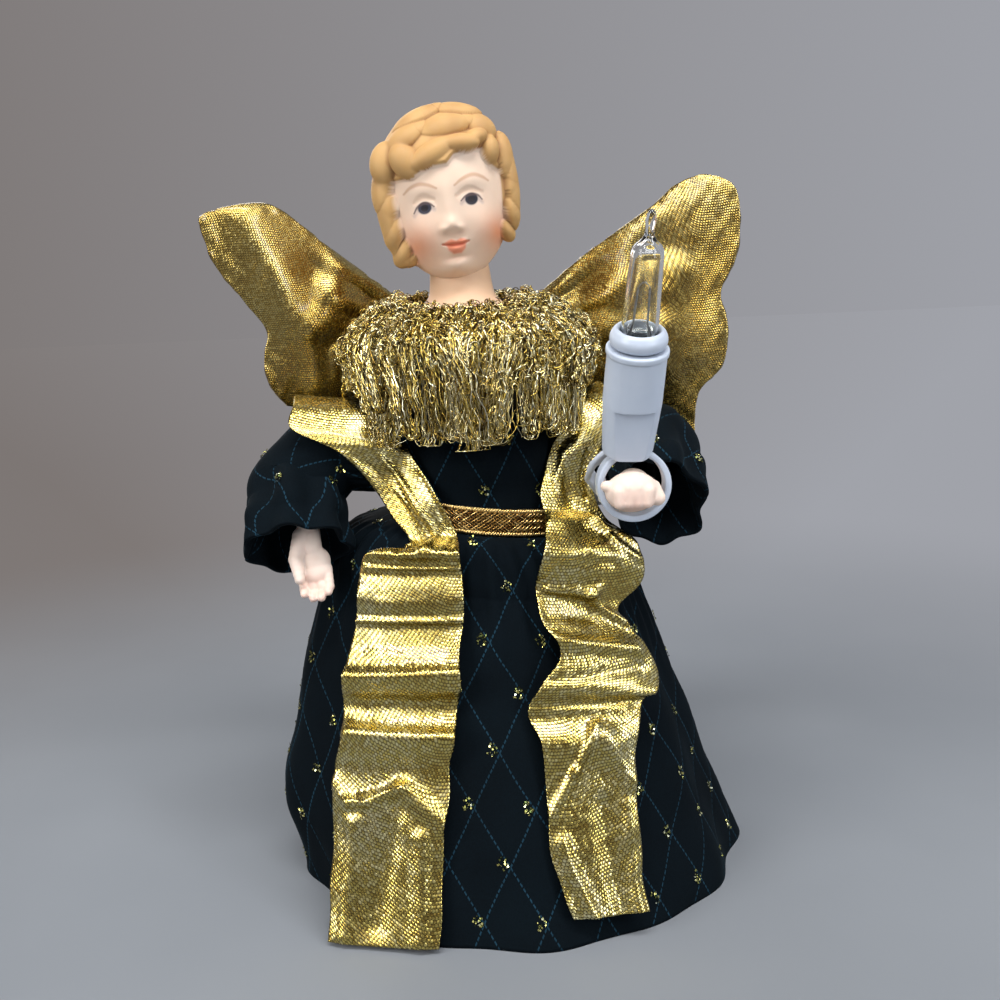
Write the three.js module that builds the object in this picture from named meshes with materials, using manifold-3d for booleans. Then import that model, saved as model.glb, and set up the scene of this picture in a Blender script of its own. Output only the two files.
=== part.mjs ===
// Angel tree topper: a bisque doll on a card cone, in a velvet dress with lame wings, ribbons and a lamp.
// Millimetres. x runs to the figure's left hand, y to its back and z up; the hem stands on z = 0.
import * as THREE from 'three';
import { mergeVertices } from 'three/addons/utils/BufferGeometryUtils.js';
import Module from 'manifold-3d';

const wasm = await Module();
wasm.setup();

// Driving dimensions of the whole figure. Left and right are the figure's own.
const figure = {
  lean: 7, // how far the foot stands to the left of the crown
  gap: 0.3, // running gap between pieces that touch
};
// Where the middle of the whole lies from the head's upright line.
const middle = { x: 3.62, y: -4.16 };

const cone = { baseRadius: 26, topRadius: 4.6, neckDrop: 3.5, wall: 1.4 };
const braid = { z: 69, height: 5, thickness: 1, ease: 0.65, slopeShare: 0.126 };
const bodice = {
  velvet: 0.9,
  waistX: 16.5, waistY: 14.1,
  chestX: 17.3, chestY: 12, chestZ: 84,
  shoulderX: 16.5, shoulderY: 12.4, topZ: 100.4,
};
const skirt = {
  velvet: 1.2,
  hemX: 45.5, hemY: 41,
  hipX: 29.5, hipY: 19.5, hipZ: 56,
  foldCount: 9, foldDepth: 1.9,
  sideBulge: 3.5, hemTuck: 6,
};
const padding = { ease: 1.1 };
const head = {
  halfWidth: 13.3, halfDepth: 13.2, halfHeight: 14.7,
  x: -0.7, z: 128.8,
  tilt: 0.12, turn: 0.09,
  wall: 2.2,
  nose: 2.1, chin: 1.9, curl: 1.0, faceInset: 1.3,
};
const plate = {
  neckRadius: 6.2, neckZ: 111.3, wall: 2,
  collarX: 7.85, collarY: 7, collarZ: 107.5,
  slopeX: 12.4, slopeY: 10.2, slopeZ: 103.8,
  edgeX: 14.4, edgeY: 11.2, edgeZ: 101,
};
const collar = {
  headingX: 10.2, headingY: 9.2, headingZ: 108.1, headingRadius: 0.8, frontDrop: 0.9,
  ruffX: 22, ruffY: 15.4, ruffZ: 105.2,
  edgeX: 22.7, edgeY: 17.2, shift: 0.8, sideZ: 92.6, frontZ: 83.8, backZ: 88,
  thickness: 2.2, pleatCount: 22, pleatDepth: 0.8, scallop: 1.3,
};
const ribbon = { thickness: 0.5, clearance: 0.6, foldDepth: 1.6 };
const shoulder = { reach: 17.9, y: -1, z: 81.5, capRadius: 8.3, wireRadius: 0.8 };
const sleeve = { velvet: 1.2, boreRadius: 4.6, foldCount: 7, foldDepth: 0.7 };
const rightMouth = { x: -30.7, y: -13, z: 64.9, halfWidth: 9.6, halfHeight: 9.2, droop: 0.45 };
const leftMouth = { x: 35.1, y: -17.5, z: 71.7, halfWidth: 7.9, halfHeight: 11.1, droop: 0.25 };
const rightHand = { length: 14.5, halfWidth: 3.7, halfDepth: 2.7 };
const leftHand = { fistHalfWidth: 4.1, fistHalfHeight: 3.6, wristRadius: 3 };
const wing = {
  span: 50, rootZ: 98.5, rootY: 20, tipY: 1, rootReach: 4.3,
  edge: 0.5, puff: 2.1, pleat: 0.8, pleatCount: 8, wireRadius: 0.5, slantShare: 1.5,
};
const band = { halfWidth: 3.7, halfHeight: 4.6, halfDepth: 2.3 };
const lamp = {
  x: 26.7, y: -34, bottomZ: 83.8, tilt: 0.04, lean: 0.39,
  socketHeight: 18.3, topRadius: 4.8, bottomRadius: 4.05, lip: 1.1,
  boreRadius: 3.2, boreDepth: 9, stepHeight: 9.2, flatDepth: 3.3,
  baseRadius: 2.3, baseLength: 8, capRadius: 4.4, capHeight: 2.7,
  glassRadius: 2.8, glassTopRadius: 2.4, glassHeight: 13.5, tipHeight: 6.2, tipRadius: 0.55,
  glassWall: 0.45, contactThickness: 0.25, contactWidth: 1.6, leadRadius: 0.25,
};
const ring = { x: 27.6, z: 78.4, frontY: -35.7, length: 3.4, outerRadius: 5.95, innerRadius: 4.9 };
const lead = { wide: 1.4, thick: 0.7, plugRadius: 3.4, plugLength: 14, capRadius: 4.1, capLength: 4 };

const TAU = 2 * Math.PI;
const mix = (a, b, t) => a + (b - a) * t;
const clamp = (t) => Math.min(Math.max(t, 0), 1);
const ease = (t) => clamp(t) * clamp(t) * (3 - 2 * clamp(t));
const point = (x, y, z) => new THREE.Vector3(x, y, z);
const steps = (count, make) => Array.from({ length: count + 1 }, (_, i) => make(i / count, i));
const around = (count, make) => Array.from({ length: count }, (_, i) => make((TAU * i) / count, i));

// x of the figure's own upright line at a height, from the floor to the crown.
const crownZ = head.z + head.halfHeight;
const lineX = (z) => figure.lean * (1 - z / crownZ);

// Reads a table of [z, x radius, y radius] at a height.
function radiiAt(table, z) {
  const last = table.length - 1;
  let k = 0;
  while (k < last - 1 && z > table[k + 1][0]) k += 1;
  const [z0, x0, y0] = table[k];
  const [z1, x1, y1] = table[k + 1];
  const t = clamp((z - z0) / (z1 - z0));
  return [mix(x0, x1, t), mix(y0, y1, t)];
}

// A geometry from points and faces, turned so that its faces point out.
function solid(points, faces) {
  const volume = faces.reduce((sum, [a, b, c]) => {
    const side = new THREE.Vector3().crossVectors(points[b], points[c]);
    return sum + points[a].dot(side);
  }, 0);
  const outward = volume < 0 ? faces.map(([a, b, c]) => [a, c, b]) : faces;
  const geometry = new THREE.BufferGeometry().setFromPoints(points);
  geometry.setIndex(outward.flat());
  return geometry;
}

// A surface over closed loops of points. Its ends are capped, or joined to each other where it is a ring.
function skin(loops, isRing = false) {
  const count = loops[0].length;
  const points = loops.flat();
  const faces = [];
  const bands = isRing ? loops.length : loops.length - 1;
  for (let i = 0; i < bands; i += 1) {
    const here = i * count;
    const next = ((i + 1) % loops.length) * count;
    for (let j = 0; j < count; j += 1) {
      const k = (j + 1) % count;
      faces.push([here + j, here + k, next + k], [here + j, next + k, next + j]);
    }
  }
  const cap = (start, flip) => {
    const centre = new THREE.Vector3();
    for (let j = 0; j < count; j += 1) centre.addScaledVector(points[start + j], 1 / count);
    points.push(centre);
    const c = points.length - 1;
    for (let j = 0; j < count; j += 1) {
      const pair = [start + j, start + ((j + 1) % count)];
      faces.push(flip ? [c, pair[1], pair[0]] : [c, pair[0], pair[1]]);
    }
  };
  if (!isRing) {
    cap(0, true);
    cap((loops.length - 1) * count, false);
  }
  return solid(points, faces);
}

// A wall between an outer and an inner stack of loops, open at both ends.
const shell = (outer, inner) => skin([...outer, ...[...inner].reverse()], true);

// A sheet of cloth: a grid of middle points given a thickness along its normals.
function sheet(grid, halfThickness) {
  const rows = grid.length;
  const columns = grid[0].length;
  const at = (i, j) => grid[Math.min(Math.max(i, 0), rows - 1)][Math.min(Math.max(j, 0), columns - 1)];
  const front = [];
  const back = [];
  for (let i = 0; i < rows; i += 1) {
    for (let j = 0; j < columns; j += 1) {
      const along = at(i + 1, j).clone().sub(at(i - 1, j));
      const across = at(i, j + 1).clone().sub(at(i, j - 1));
      const normal = along.cross(across).normalize();
      const half = halfThickness(i / (rows - 1), j / (columns - 1));
      front.push(at(i, j).clone().addScaledVector(normal, half));
      back.push(at(i, j).clone().addScaledVector(normal, -half));
    }
  }
  const points = [...front, ...back];
  const faces = [];
  const f = (i, j) => i * columns + j;
  const b = (i, j) => rows * columns + f(i, j);
  const quad = (p, q, r, s) => faces.push([p, q, r], [p, r, s]);
  for (let i = 0; i < rows - 1; i += 1) {
    for (let j = 0; j < columns - 1; j += 1) {
      quad(f(i, j), f(i + 1, j), f(i + 1, j + 1), f(i, j + 1));
      quad(b(i, j), b(i, j + 1), b(i + 1, j + 1), b(i + 1, j));
    }
    quad(f(i, 0), b(i, 0), b(i + 1, 0), f(i + 1, 0));
    quad(f(i, columns - 1), f(i + 1, columns - 1), b(i + 1, columns - 1), b(i, columns - 1));
  }
  for (let j = 0; j < columns - 1; j += 1) {
    quad(f(0, j), f(0, j + 1), b(0, j + 1), b(0, j));
    quad(f(rows - 1, j), b(rows - 1, j), b(rows - 1, j + 1), f(rows - 1, j + 1));
  }
  return solid(points, faces);
}

// Loops of an oval section carried along a path without twist.
// sections: [centre, half size along the first axis, half size along the second].
function carried(sections, firstAxis, sides, waveAt = () => 0) {
  let axis = firstAxis.clone();
  return sections.map(([centre, halfA, halfB], i) => {
    const before = sections[Math.max(i - 1, 0)][0];
    const after = sections[Math.min(i + 1, sections.length - 1)][0];
    const direction = after.clone().sub(before).normalize();
    axis.addScaledVector(direction, -axis.dot(direction)).normalize();
    const a = axis.clone();
    const b = direction.clone().cross(a);
    axis = a.clone();
    return around(sides, (angle) => {
      const wave = waveAt(angle, i / (sections.length - 1));
      return centre
        .clone()
        .addScaledVector(a, (halfA + wave) * Math.cos(angle))
        .addScaledVector(b, (halfB + wave) * Math.sin(angle));
    });
  });
}

// A round wire along chosen points.
function wire(points, radius, stepCount) {
  const section = new THREE.Shape(around(8, (a) =>
    new THREE.Vector2(radius * Math.cos(a), radius * Math.sin(a))));
  const path = new THREE.CatmullRomCurve3(points);
  return new THREE.ExtrudeGeometry(section, { steps: stepCount, extrudePath: path });
}

// Boolean work on closed geometries.
function toManifold(geometry) {
  const bare = geometry.index ? geometry.toNonIndexed() : geometry.clone();
  bare.deleteAttribute('normal');
  bare.deleteAttribute('uv');
  const merged = mergeVertices(bare);
  return new wasm.Manifold(
    new wasm.Mesh({
      numProp: 3,
      vertProperties: merged.attributes.position.array,
      triVerts: new Uint32Array(merged.index.array),
    }),
  );
}
function fromManifold(body) {
  const mesh = body.getMesh();
  const geometry = new THREE.BufferGeometry();
  const places = new Float32Array(mesh.numVert * 3);
  for (let i = 0; i < mesh.numVert; i += 1) {
    places.set(mesh.vertProperties.subarray(i * mesh.numProp, i * mesh.numProp + 3), i * 3);
  }
  geometry.setAttribute('position', new THREE.BufferAttribute(places, 3));
  geometry.setIndex(new THREE.BufferAttribute(mesh.triVerts, 1));
  return geometry;
}
const joined = (...parts) => fromManifold(parts.map(toManifold).reduce((a, b) => a.add(b)));
const cut = (body, ...tools) =>
  fromManifold(tools.map(toManifold).reduce((a, b) => a.subtract(b), toManifold(body)));

// A pin along x, y or z through a place.
function pin(radius, length, place, direction, sides = 16) {
  const geometry = new THREE.CylinderGeometry(radius, radius, length, sides);
  geometry.applyQuaternion(new THREE.Quaternion().setFromUnitVectors(point(0, 1, 0), direction));
  return geometry.translate(place.x, place.y, place.z);
}
const alongX = point(1, 0, 0);
const alongY = point(0, 1, 0);
const alongZ = point(0, 0, 1);

const material = {
  bisque: { color: 0xe8d6c9, roughness: 0.75, metalness: 0 },
  card: { color: 0xb9a98c, roughness: 0.95, metalness: 0 },
  stuffing: { color: 0xe9e5da, roughness: 1, metalness: 0 },
  velvet: { color: 0x0b1720, roughness: 0.9, metalness: 0 },
  braid: { color: 0xa5762c, roughness: 0.45, metalness: 0.8 },
  lame: { color: 0xc2a437, roughness: 0.35, metalness: 0.9 },
  fringe: { color: 0xb79a3e, roughness: 0.4, metalness: 0.85 },
  white: { color: 0xd9dde6, roughness: 0.4, metalness: 0 },
  glass: { color: 0xdfe4e2, roughness: 0.05, metalness: 0 },
  steel: { color: 0x8d8a84, roughness: 0.5, metalness: 0.9 },
  brass: { color: 0xc09a4a, roughness: 0.4, metalness: 1 },
};
const angel = new THREE.Group();
angel.position.set(-middle.x, -middle.y, 0);
function add(name, finish, geometry, parent = angel) {
  const mesh = new THREE.Mesh(geometry, new THREE.MeshStandardMaterial(material[finish]));
  mesh.name = name;
  parent.add(mesh);
  return mesh;
}

// Support cone: an open card cone that slips over the tip of the tree and ends under the neck.
const coneTop = plate.collarZ - cone.neckDrop;
const coneRadius = (z) => mix(cone.baseRadius, cone.topRadius, z / coneTop);
const coneLevels = 8;
const coneLoop = (z, inset) =>
  around(24, (a) => point(
    lineX(z) + (coneRadius(z) - inset) * Math.cos(a), (coneRadius(z) - inset) * Math.sin(a), z));
const coneSolid = shell(
  steps(coneLevels, (t) => coneLoop(t * coneTop, 0)),
  steps(coneLevels, (t) => coneLoop(t * coneTop, cone.wall)),
);
const shoulderMiddle = point(lineX(shoulder.z), shoulder.y, shoulder.z);
const shoulderHole = pin(shoulder.wireRadius + figure.gap, 3 * shoulder.reach, shoulderMiddle, alongX);
add('support_cone', 'card', cut(coneSolid, shoulderHole));

// The waist line falls a little to the figure's left.
const waistZ = (x) => braid.z - braid.slopeShare * (x - lineX(braid.z));

// Bodice and the stuffing inside it.
const bodiceTable = [
  [braid.z, bodice.waistX, bodice.waistY],
  [bodice.chestZ, bodice.chestX, bodice.chestY],
  [bodice.topZ, bodice.shoulderX, bodice.shoulderY],
];
function bodiceLoop(t, inset) {
  const z = mix(braid.z, bodice.topZ, t);
  const [radiusX, radiusY] = radiiAt(bodiceTable, z);
  return around(30, (a) => {
    const x = lineX(z) + (radiusX - inset) * Math.cos(a);
    const bottom = waistZ(x) - braid.height / 2 + figure.gap;
    return point(x, (radiusY - inset) * Math.sin(a), mix(bottom, bodice.topZ, t));
  });
}
const bodiceLevels = 7;
add('bodice', 'velvet', cut(
  shell(
    steps(bodiceLevels, (t) => bodiceLoop(t, 0)),
    steps(bodiceLevels, (t) => bodiceLoop(t, bodice.velvet)),
  ),
  shoulderHole,
));

const paddingBottom = braid.z + braid.height / 2;
const paddingTable = [
  [paddingBottom, bodice.waistX - bodice.velvet - padding.ease, bodice.waistY - bodice.velvet - padding.ease],
  [bodice.chestZ, bodice.chestX - bodice.velvet - padding.ease, bodice.chestY - bodice.velvet - padding.ease],
  [plate.edgeZ - plate.wall, plate.edgeX - plate.wall - figure.gap, plate.edgeY - plate.wall - figure.gap],
  [plate.slopeZ, plate.slopeX - 2 * plate.wall, plate.slopeY - 1.7 * plate.wall],
];
const paddingTop = plate.slopeZ - figure.gap;
const paddingLoop = (z, outside) => {
  const [radiusX, radiusY] = radiiAt(paddingTable, z);
  const inside = coneRadius(z) + figure.gap;
  return around(22, (a) => point(
    lineX(z) + (outside ? radiusX : inside) * Math.cos(a), (outside ? radiusY : inside) * Math.sin(a), z));
};
add('torso_padding', 'stuffing', cut(
  shell(
    steps(5, (t) => paddingLoop(mix(paddingBottom, paddingTop, t), true)),
    steps(5, (t) => paddingLoop(mix(paddingBottom, paddingTop, t), false)),
  ),
  shoulderHole,
));

// Skirt: gathered at the waist, straight down the front, with soft upright folds.
const skirtTopZ = (x) => waistZ(x) - braid.height / 2;
const skirtTopX = bodice.waistX + braid.thickness;
const skirtTopY = bodice.waistY + braid.thickness;
function skirtRadii(z) {
  if (z <= skirt.hipZ) {
    const t = z / skirt.hipZ;
    return [mix(skirt.hemX, skirt.hipX, t), mix(skirt.hemY, skirt.hipY, t)];
  }
  const top = braid.z - braid.height / 2;
  const t = clamp((z - skirt.hipZ) / (top - skirt.hipZ));
  const round = Math.sqrt(1 - t * t);
  return [mix(skirtTopX, skirt.hipX, round), mix(skirtTopY, skirt.hipY, round)];
}
const hemShare = (z) => clamp(1 - z / (braid.z - braid.height / 2));
// Folds are deepest at the hem and at the back; the right side bulges and its hem turns under.
function skirtFold(a, z) {
  const depth = skirt.foldDepth * Math.sqrt(hemShare(z)) * (0.7 + 0.3 * Math.sin(a));
  const wave = 0.6 * Math.cos(skirt.foldCount * a + 0.4) + 0.4 * Math.cos((skirt.foldCount + 5) * a + 1.9);
  const side = Math.exp(-(((a - Math.PI) / 0.75) ** 2));
  const bulge = skirt.sideBulge * Math.sin(Math.PI * clamp(hemShare(z) * 0.9)) * side;
  return depth * wave + bulge - skirt.hemTuck * ease((hemShare(z) - 0.8) / 0.2) * side;
}
function skirtPoint(a, share, inset) {
  const level = share * (braid.z - braid.height / 2);
  const [radiusX, radiusY] = skirtRadii(level);
  const fold = skirtFold(a, level);
  const x = lineX(level) + (radiusX + fold - inset) * Math.cos(a);
  const z = share * (skirtTopZ(x) - figure.gap);
  return point(x, (radiusY + fold - inset) * Math.sin(a), z);
}
// Levels are closer where the gathers turn in.
const skirtShares = [0, 0.12, 0.27, 0.43, 0.6, 0.74, 0.84, 0.9, 0.95, 0.985, 1];
add('skirt', 'velvet', shell(
  skirtShares.map((share) => around(54, (a) => skirtPoint(a, share, 0))),
  skirtShares.map((share) => around(54, (a) => skirtPoint(a, share, skirt.velvet))),
));

// Waist braid over the seam between bodice and skirt.
const braidLoop = (a) => {
  const inner = [bodice.waistX + braid.ease, bodice.waistY + figure.gap];
  const x = lineX(braid.z) + inner[0] * Math.cos(a);
  const corner = (outward, up) => point(
    lineX(braid.z) + (inner[0] + outward) * Math.cos(a),
    (inner[1] + outward) * Math.sin(a),
    waistZ(x) + up,
  );
  const half = braid.height / 2;
  const full = braid.thickness - figure.gap;
  return [corner(0, -half), corner(full, -half * 0.9), corner(full, half * 0.9), corner(0, half)];
};
add('waist_braid', 'braid', skin(around(40, braidLoop), true));

// Front of the dress at a place, for what lies on it.
function dressFront(x, z) {
  const spread = (radii) => {
    const u = Math.min(Math.abs((x - lineX(z)) / radii[0]), 0.97);
    return -radii[1] * Math.sqrt(1 - u * u);
  };
  const top = skirtTopZ(x);
  if (z < top) {
    const [radiusX, radiusY] = skirtRadii(z);
    const fold = skirt.foldDepth * Math.sqrt(hemShare(z)) * 0.45;
    return spread([radiusX + fold, radiusY + fold]);
  }
  const dress = z < top + braid.height + braid.thickness
    ? spread([skirtTopX, skirtTopY])
    : spread(radiiAt(bodiceTable, z));
  // Beside the bodice the shoulder's cap stands further forward.
  const rise = Math.min(Math.abs(z - shoulder.z) / (shoulder.capRadius + ribbon.clearance), 1);
  const capFront = shoulder.y - (shoulder.capRadius + ribbon.clearance) * Math.sqrt(1 - rise * rise);
  const beyond = Math.abs(x - lineX(z)) - shoulder.reach + ribbon.foldDepth * 2;
  const onCap = ease(beyond / (ribbon.foldDepth * 1.6));
  return Math.min(dress, mix(dress, capFront, onCap));
}

// Bisque head, neck and shoulder plate in one hollow casting, hair moulded with it.
const bump = (direction, centre, width) => Math.exp(-(direction.distanceToSquared(centre) / (width * width)));
const noseTip = point(0.1, -0.86, -0.5).normalize();
const chinTip = point(0.06, -0.62, -0.78).normalize();
function headPoint(azimuth, elevation) {
  const d = point(
    Math.cos(elevation) * Math.cos(azimuth),
    Math.cos(elevation) * Math.sin(azimuth),
    Math.sin(elevation),
  );
  const face = ease((-d.y - 0.3) / 0.25) * ease((0.5 - d.z) / 0.25);
  const hair = (1 - face) * ease((d.z + 0.75) / 0.25);
  const curls = Math.sin(7 * azimuth + 2.5 * Math.sin(4 * elevation)) * Math.cos(elevation);
  const out =
    hair * head.curl * (0.4 + 0.6 * curls) - face * head.faceInset +
    head.nose * bump(d, noseTip, 0.17) + head.chin * bump(d, chinTip, 0.33);
  return point(
    (head.halfWidth + out) * d.x,
    (head.halfDepth + out) * d.y,
    (head.halfHeight + out) * d.z,
  );
}
const headTurn = new THREE.Euler(0, -head.tilt, head.turn);
const toHead = (p) => p.applyEuler(headTurn).add(point(head.x, 0, head.z));
const headSkin = skin(steps(21, (t) =>
  around(34, (a) => toHead(headPoint(a, mix(-1.5, 1.5, t))))));
const plateTable = [
  [plate.edgeZ, plate.edgeX, plate.edgeY],
  [plate.slopeZ, plate.slopeX, plate.slopeY],
  [plate.collarZ, plate.collarX, plate.collarY],
  [plate.neckZ, plate.neckRadius, plate.neckRadius],
  [head.z, plate.neckRadius, plate.neckRadius],
];
const plateLoop = (z, inset) => {
  const [radiusX, radiusY] = radiiAt(plateTable, z);
  return around(28, (a) => point(
    lineX(z) + (radiusX - inset) * Math.cos(a), (radiusY - inset) * Math.sin(a), z));
};
const plateLevels = [plate.edgeZ, plate.slopeZ, plate.collarZ, plate.neckZ, head.z - head.halfHeight / 2];
const boreLevels = [
  [plate.edgeZ - plate.wall, plate.edgeZ],
  [plate.edgeZ, plate.edgeZ],
  [plate.slopeZ - plate.wall * 0.7, plate.slopeZ],
  [plate.collarZ - plate.wall * 0.5, plate.collarZ],
  [plate.neckZ, plate.neckZ],
  [head.z, head.z],
];
const headSolid = joined(headSkin, skin(plateLevels.map((z) => plateLoop(z, 0))));
const headHollow = new THREE.SphereGeometry(1, 20, 12);
headHollow.scale(
  head.halfWidth - 2 * head.wall, head.halfDepth - 2 * head.wall, head.halfHeight - 2 * head.wall);
headHollow.translate(head.x, 0, head.z);
const plateBore = skin(boreLevels.map(([z, like]) => {
  const [radiusX, radiusY] = radiiAt(plateTable, like);
  return around(24, (a) => point(
    lineX(z) + (radiusX - plate.wall) * Math.cos(a), (radiusY - plate.wall) * Math.sin(a), z));
}));
add('bisque_head', 'bisque', cut(headSolid, headHollow, plateBore));

// Collar: a twisted heading round the neck and a deep gathered fringe that ends in scallops.
const headingZ = (a) => collar.headingZ + collar.frontDrop * Math.sin(a);
add('collar_heading', 'fringe', skin(around(40, (a, i) => {
  const lump = (i % 2) * collar.headingRadius * 0.25;
  return around(6, (b) => {
    const r = (collar.headingRadius - lump) * Math.cos(b);
    return point(
      lineX(collar.headingZ) + (collar.headingX + r) * Math.cos(a),
      (collar.headingY + r) * Math.sin(a),
      headingZ(a) + (collar.headingRadius - lump) * Math.sin(b),
    );
  });
}), true));
function collarEdgeZ(a) {
  const front = ease((-Math.sin(a) - 0.25) / 0.5);
  const back = ease((Math.sin(a) - 0.25) / 0.5);
  const scallop = collar.scallop * Math.cos(9 * a + 2.6) * front;
  return mix(mix(collar.sideZ, collar.frontZ, front), collar.backZ, back) + scallop;
}
// Five places from the heading over the ruff to the edge: how thick, how pleated, how far shifted and
// which way the thickness goes at each.
const collarHalfShares = [0.5, 0.8, 1, 1, 0.7];
const collarPleatShares = [0, 0.5, 1, 1, 1];
const collarShiftShares = [0, 0.5, 1, 1, 1];
const collarLiftShares = [[0, 1], [0.3, 1], [0.8, 0.6], [1, 0], [1, 0]];
function collarRow(a) {
  const startX = collar.headingX + collar.headingRadius + figure.gap;
  const startY = collar.headingY + collar.headingRadius + figure.gap;
  const line = [
    [startX, startY, headingZ(a)],
    [mix(startX, collar.ruffX, 0.55), mix(startY, collar.ruffY, 0.55), collar.ruffZ + collar.thickness],
    [collar.ruffX, collar.ruffY, collar.ruffZ - collar.thickness / 2],
    [mix(collar.ruffX, collar.edgeX, 0.5), mix(collar.ruffY, collar.edgeY, 0.5),
      mix(collar.ruffZ, collarEdgeZ(a), 0.5)],
    [collar.edgeX, collar.edgeY, collarEdgeZ(a)],
  ];
  const place = (k, side) => {
    const [rx, ry, z] = line[k];
    const [outLift, upLift] = collarLiftShares[k];
    const half = (side * collarHalfShares[k] * collar.thickness) / 2;
    const outward = half * outLift + collar.pleatDepth * Math.cos(collar.pleatCount * a) * collarPleatShares[k];
    const middleX = lineX(collar.headingZ) + collar.shift * collarShiftShares[k];
    return point(middleX + (rx + outward) * Math.cos(a), (ry + outward) * Math.sin(a), z + half * upLift);
  };
  const upper = line.map((_, k) => place(k, 1));
  const lower = line.map((_, k) => place(k, -1));
  return [...upper, ...lower.reverse()];
}
add('collar_fringe', 'fringe', skin(around(66, collarRow), true));

// Ribbons: one band over each shoulder, folded at the waist, hanging to the floor.
// Rows of [inner x, inner z, outer x, outer z, forward], as shares of the skirt's half width, the shoulder's
// height and the fold depth.
const rightRibbonShares = [
  [-0.343, 1.092, -0.668, 1.076, 0],
  [-0.248, 1.027, -0.470, 1.005, 0],
  [-0.182, 0.9843, -0.371, 0.9367, 0.2],
  [-0.088, 0.8962, -0.275, 0.861, 0.2],
  [-0.030, 0.8275, -0.215, 0.8064, 0.6],
  [-0.018, 0.7959, -0.390, 0.7959, 2.2],
  [-0.016, 0.7624, -0.410, 0.7659, 0.4],
  [-0.016, 0.7008, -0.420, 0.7043, 1.5],
  [-0.018, 0.6374, -0.437, 0.648, 0.3],
  [-0.031, 0.5828, -0.468, 0.5846, 1.4],
  [-0.040, 0.5282, -0.488, 0.5335, 1.7],
  [-0.055, 0.4719, -0.495, 0.4719, 0.1],
  [-0.064, 0.412, -0.519, 0.4103, 1.3],
  [-0.088, 0.361, -0.536, 0.3521, 0.3],
  [-0.108, 0.2905, -0.549, 0.2782, 0.4],
  [-0.127, 0.1937, -0.558, 0.1796, 0],
  [-0.143, 0.09508, -0.571, 0.07395, 0],
  [-0.154, 0.01321, -0.578, 0.01056, 0.2],
];
const leftRibbonShares = [
  [0.440, 1.074, 0.590, 1.079, 0],
  [0.374, 0.9895, 0.574, 1.004, 0],
  [0.314, 0.905, 0.525, 0.9173, 0.3],
  [0.330, 0.8557, 0.575, 0.8416, 1.5],
  [0.301, 0.7923, 0.700, 0.7642, 2.8],
  [0.285, 0.7483, 0.690, 0.7008, 1.2],
  [0.270, 0.7025, 0.600, 0.6374, 0],
  [0.303, 0.6374, 0.684, 0.5722, 1.4],
  [0.341, 0.5758, 0.749, 0.5159, 1.8],
  [0.270, 0.5194, 0.730, 0.4807, 1.7],
  [0.224, 0.4596, 0.659, 0.4613, 0],
  [0.251, 0.4032, 0.635, 0.4032, 1.2],
  [0.270, 0.3433, 0.618, 0.3469, 0.4],
  [0.273, 0.2676, 0.613, 0.2694, 0.2],
  [0.273, 0.1919, 0.618, 0.1726, 0.1],
  [0.303, 0.1233, 0.624, 0.1039, 0],
  [0.352, 0.06339, 0.631, 0.06339, 0.2],
];
// How much the outer edge follows the dress: less than one hangs flat.
const hangShare = 0.35;
const ribbonLift = ribbon.clearance + ribbon.thickness;
function ribbonPlace(share, [ix, iz, ox, oz, forward]) {
  const x = mix(ix, ox, share) * skirt.hemX;
  const z = mix(iz, oz, share) * shoulder.z;
  const innerX = ix * skirt.hemX;
  const innerY = dressFront(innerX, iz * shoulder.z);
  const y = innerY + hangShare * (dressFront(x, z) - innerY);
  return point(x, Math.min(y, dressFront(x, z)) - ribbonLift - forward * ribbon.foldDepth, z);
}
const acrossShares = [0, 0.25, 0.5, 0.75, 1];
// Over the shoulder the ribbon rides round the sleeve's cap.
const overCapShares = [0.12, 0.3, 0.48, 0.66, 0.82];
function ribbonTop(side, row) {
  const radius = shoulder.capRadius + ribbonLift;
  const angles = overCapShares.map((share) => share * Math.PI);
  return angles.map((angle) => acrossShares.map((share) => {
    const x = mix(row[0], row[2], share) * skirt.hemX + side * figure.gap;
    const out = radius + 2 * ribbon.clearance * share * share;
    return point(x, shoulder.y + out * Math.cos(angle), shoulder.z + out * Math.sin(angle));
  }));
}
function ribbonSolid(side, table) {
  const front = table.slice(1).map((row) => acrossShares.map((share) => ribbonPlace(share, row)));
  const rows = [...ribbonTop(side, table[0]), ...front];
  const columns = acrossShares.map((_, j) =>
    new THREE.CatmullRomCurve3(rows.map((row) => row[j]), false, 'centripetal'));
  const count = 48;
  const grid = steps(count, (t) => columns.map((curve) => curve.getPoint(t)));
  return sheet(grid, () => ribbon.thickness / 2);
}
add('right_ribbon', 'lame', ribbonSolid(-1, rightRibbonShares));
add('left_ribbon', 'lame', ribbonSolid(1, leftRibbonShares));

// Shoulder wire: crosses the torso and carries both arms.
const rootX = (side) => lineX(shoulder.z) + side * shoulder.reach;
add('shoulder_wire', 'steel', pin(
  shoulder.wireRadius, 2 * shoulder.reach - figure.gap,
  shoulderMiddle, alongX, 8));

const rightArm = new THREE.Group();
const leftArm = new THREE.Group();
const rightWing = new THREE.Group();
const leftWing = new THREE.Group();
const bulb = new THREE.Group();
leftArm.add(bulb);
angel.add(rightArm, leftArm, rightWing, leftWing);

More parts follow.
